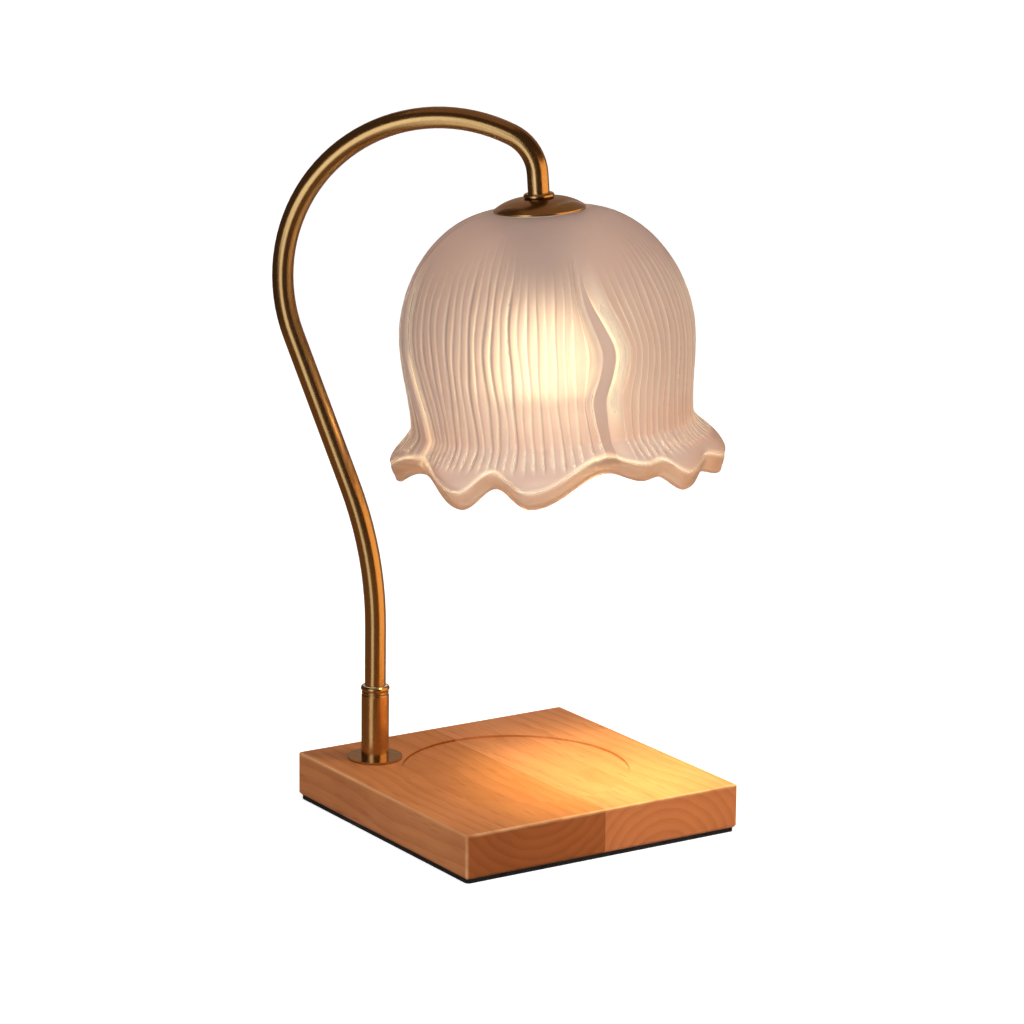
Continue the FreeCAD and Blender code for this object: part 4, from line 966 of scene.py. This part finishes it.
def soft_light(name, power, left, up, distance, width):
    """A square light that faces the lamp and isn't mirrored in it."""
    place = towards(left, up, distance)
    lamp = bpy.data.lights.new(name, "AREA")
    lamp.shape = "SQUARE"
    lamp.size = width
    lamp.energy = power
    light = bpy.data.objects.new(name, lamp)
    light.location = place
    light.rotation_euler = (MIDDLE - place).to_track_quat("-Z", "Y").to_euler()
    light.visible_glossy = False
    bpy.context.scene.collection.objects.link(light)


def shine_down(power):
    """The lit bulb's own beam, which swings with the lamp head."""
    lamp = bpy.data.lights.new("bulb beam", "AREA")
    lamp.shape = "DISK"
    lamp.size = BEAM_WIDTH
    lamp.spread = BEAM_SPREAD
    lamp.energy = power
    lamp.color = BEAM_COLOUR
    light = bpy.data.objects.new("bulb_beam", lamp)
    outward = Matrix.Rotation(BEAM_LEAN, 4, "Y") @ Matrix.Rotation(math.pi, 4, "X")
    light.matrix_world = HEAD @ Matrix.Translation((0, 0, BEAM_DEPTH)) @ outward
    for ray in ("camera", "glossy", "transmission"):
        setattr(light, f"visible_{ray}", False)
    bpy.context.scene.collection.objects.link(light)
    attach(light, "bulb")


def card_material(name, colour, level):
    """A glowing card, dimmer in soft patches, that mirrors nothing itself."""
    material, tree, shader = new_material(name)
    cloud = placed(tree, "Cloudy tone", Tone=colour, Deep_tone=tuple(0.85 * part for part in colour),
                   Patches_per_metre=3.0)
    wire(tree, shader, Base_Color=(0, 0, 0), Roughness=1.0, Specular_IOR_Level=0.0,
         Emission_Color=cloud["Colour"], Emission_Strength=level)
    return material


def only_in_reflections(card):
    for ray in ("camera", "diffuse", "transmission", "volume_scatter", "shadow"):
        setattr(card, f"visible_{ray}", False)


def curved_card(name, first, last, profile, colour, level):
    """A card swept round the lamp between two bearings, seen only by reflections."""
    bearings = np.linspace(first, last, 2 + int(abs(last - first) / CARD_STEP))
    points = [ARM_MIDDLE + bearing(left) * reach + Vector((0, 0, height))
              for reach, height in profile for left in bearings]
    count = len(bearings)
    faces = [(row * count + k, row * count + k + 1, (row + 1) * count + k + 1, (row + 1) * count + k)
             for row in range(len(profile) - 1) for k in range(count - 1)]
    only_in_reflections(new_mesh_object(name, points, faces, card_material(name, colour, level)))


def overhead_card(name, height, reach, colour, level):
    """A round card above the lamp, seen only by reflections."""
    turns = np.radians(np.arange(0, 360, 10))
    points = [(reach * math.cos(turn), reach * math.sin(turn), height) for turn in turns]
    face = [tuple(range(len(points)))]
    only_in_reflections(new_mesh_object(name, points, face, card_material(name, colour, level)))


def add_camera():
    yaw, dip, roll = (math.radians(turn) for turn in CAMERA_TURNS)
    forward = Vector((-math.sin(yaw) * math.cos(dip), math.cos(yaw) * math.cos(dip), -math.sin(dip)))
    level = Vector((math.cos(yaw), math.sin(yaw), 0))
    upright = level.cross(forward)
    right = level * math.cos(roll) + upright * math.sin(roll)
    up = upright * math.cos(roll) - level * math.sin(roll)
    lens = bpy.data.cameras.new("camera")
    lens.lens = LENS
    lens.sensor_width = SENSOR_WIDTH
    camera = bpy.data.objects.new("camera", lens)
    axes = Matrix((right, up, -forward)).transposed().to_4x4()
    camera.matrix_world = Matrix.Translation(CAMERA_PLACE) @ axes
    bpy.context.scene.collection.objects.link(camera)
    bpy.context.scene.camera = camera


def light_all_round(scene, fill):
    """An even white surrounding: plain white where it is seen, and fainter as a light."""
    world = bpy.data.worlds.new("studio")
    scene.world = world
    world.use_nodes = True
    tree = world.node_tree
    strength = span(tree, seen_directly(tree), 0, 1, fill, 1.0)
    wire(tree, tree.nodes["Background"], Color=(1, 1, 1), Strength=strength)


def pale_floor():
    """A floor that looks as white as its surroundings and still takes the lamp's shadow."""
    material, tree, shader = new_material("pale floor")
    cloud = placed(tree, "Cloudy tone", Tone=(0.86, 0.86, 0.86), Deep_tone=(0.84, 0.84, 0.84),
                   Patches_per_metre=6.0)
    glow = span(tree, seen_directly(tree), 0, 1, 0.0, 0.6)
    wire(tree, shader, Base_Color=cloud["Colour"], Roughness=0.9, Specular_IOR_Level=0.0,
         Emission_Color=(1, 1, 1), Emission_Strength=glow)
    corners = [(across * FLOOR_REACH, along * FLOOR_REACH, 0)
               for across, along in ((-1, -1), (1, -1), (1, 1), (-1, 1))]
    new_mesh_object("floor", corners, [(0, 1, 2, 3)], material)


class LAMP_OT_stage(bpy.types.Operator):
    """Sets the pale floor, the soft lights and the camera"""
    bl_idname = "candle_lamp.stage"
    bl_label = "Stage"

    def execute(self, context):
        scene = context.scene
        settings = scene.lamp_stage
        scene.view_settings.view_transform = "Standard"
        light_all_round(scene, settings.fill)
        pale_floor()
        soft_light("key light", settings.key, **KEY_LIGHT)
        soft_light("top light", settings.key * TOP_LIGHT_SHARE, **TOP_LIGHT)
        for name, card in CARDS.items():
            curved_card(name, *card)
        overhead_card("ceiling_card", CARD_TOP, 0.5, BROWN, 1.0)
        shine_down(settings.beam)
        add_camera()
        scene.cycles.use_denoising = True
        return {"FINISHED"}


# ---------------------------------------------------------------- panel and run

OPERATORS = [LAMP_OT_wooden_base, LAMP_OT_brasswork, LAMP_OT_glass_shade, LAMP_OT_lamp_holder,
             LAMP_OT_bulb, LAMP_OT_hardware, LAMP_OT_stage]
SETTINGS = {"lamp_wood": WoodSettings, "lamp_brass": BrassSettings, "lamp_glass": GlassSettings,
            "lamp_bulb": BulbSettings, "lamp_stage": StageSettings}


class LAMP_PT_pieces(bpy.types.Panel):
    """Lists the lamp's pieces and their settings"""
    bl_idname = "LAMP_PT_pieces"
    bl_label = "Candle lamp"
    bl_space_type = "VIEW_3D"
    bl_region_type = "UI"
    bl_category = "Candle lamp"

    def draw(self, context):
        for kind in OPERATORS:
            self.layout.operator(kind.bl_idname)
        for name, kind in SETTINGS.items():
            box = self.layout.box()
            for setting in kind.__annotations__:
                box.prop(getattr(context.scene, name), setting)


def register():
    for kind in [*SETTINGS.values(), *OPERATORS, LAMP_PT_pieces]:
        bpy.utils.register_class(kind)
    for name, kind in SETTINGS.items():
        setattr(bpy.types.Scene, name, PointerProperty(type=kind))


def unregister():
    for name in SETTINGS:
        delattr(bpy.types.Scene, name)
    for kind in reversed([*SETTINGS.values(), *OPERATORS, LAMP_PT_pieces]):
        bpy.utils.unregister_class(kind)


def main():
    register()
    make_cloudy_tone()
    make_handled_edges()
    make_fine_tooth()
    for kind in OPERATORS:
        group, name = kind.bl_idname.split(".")
        getattr(getattr(bpy.ops, group), name)()


if __name__ == "__main__":
    main()
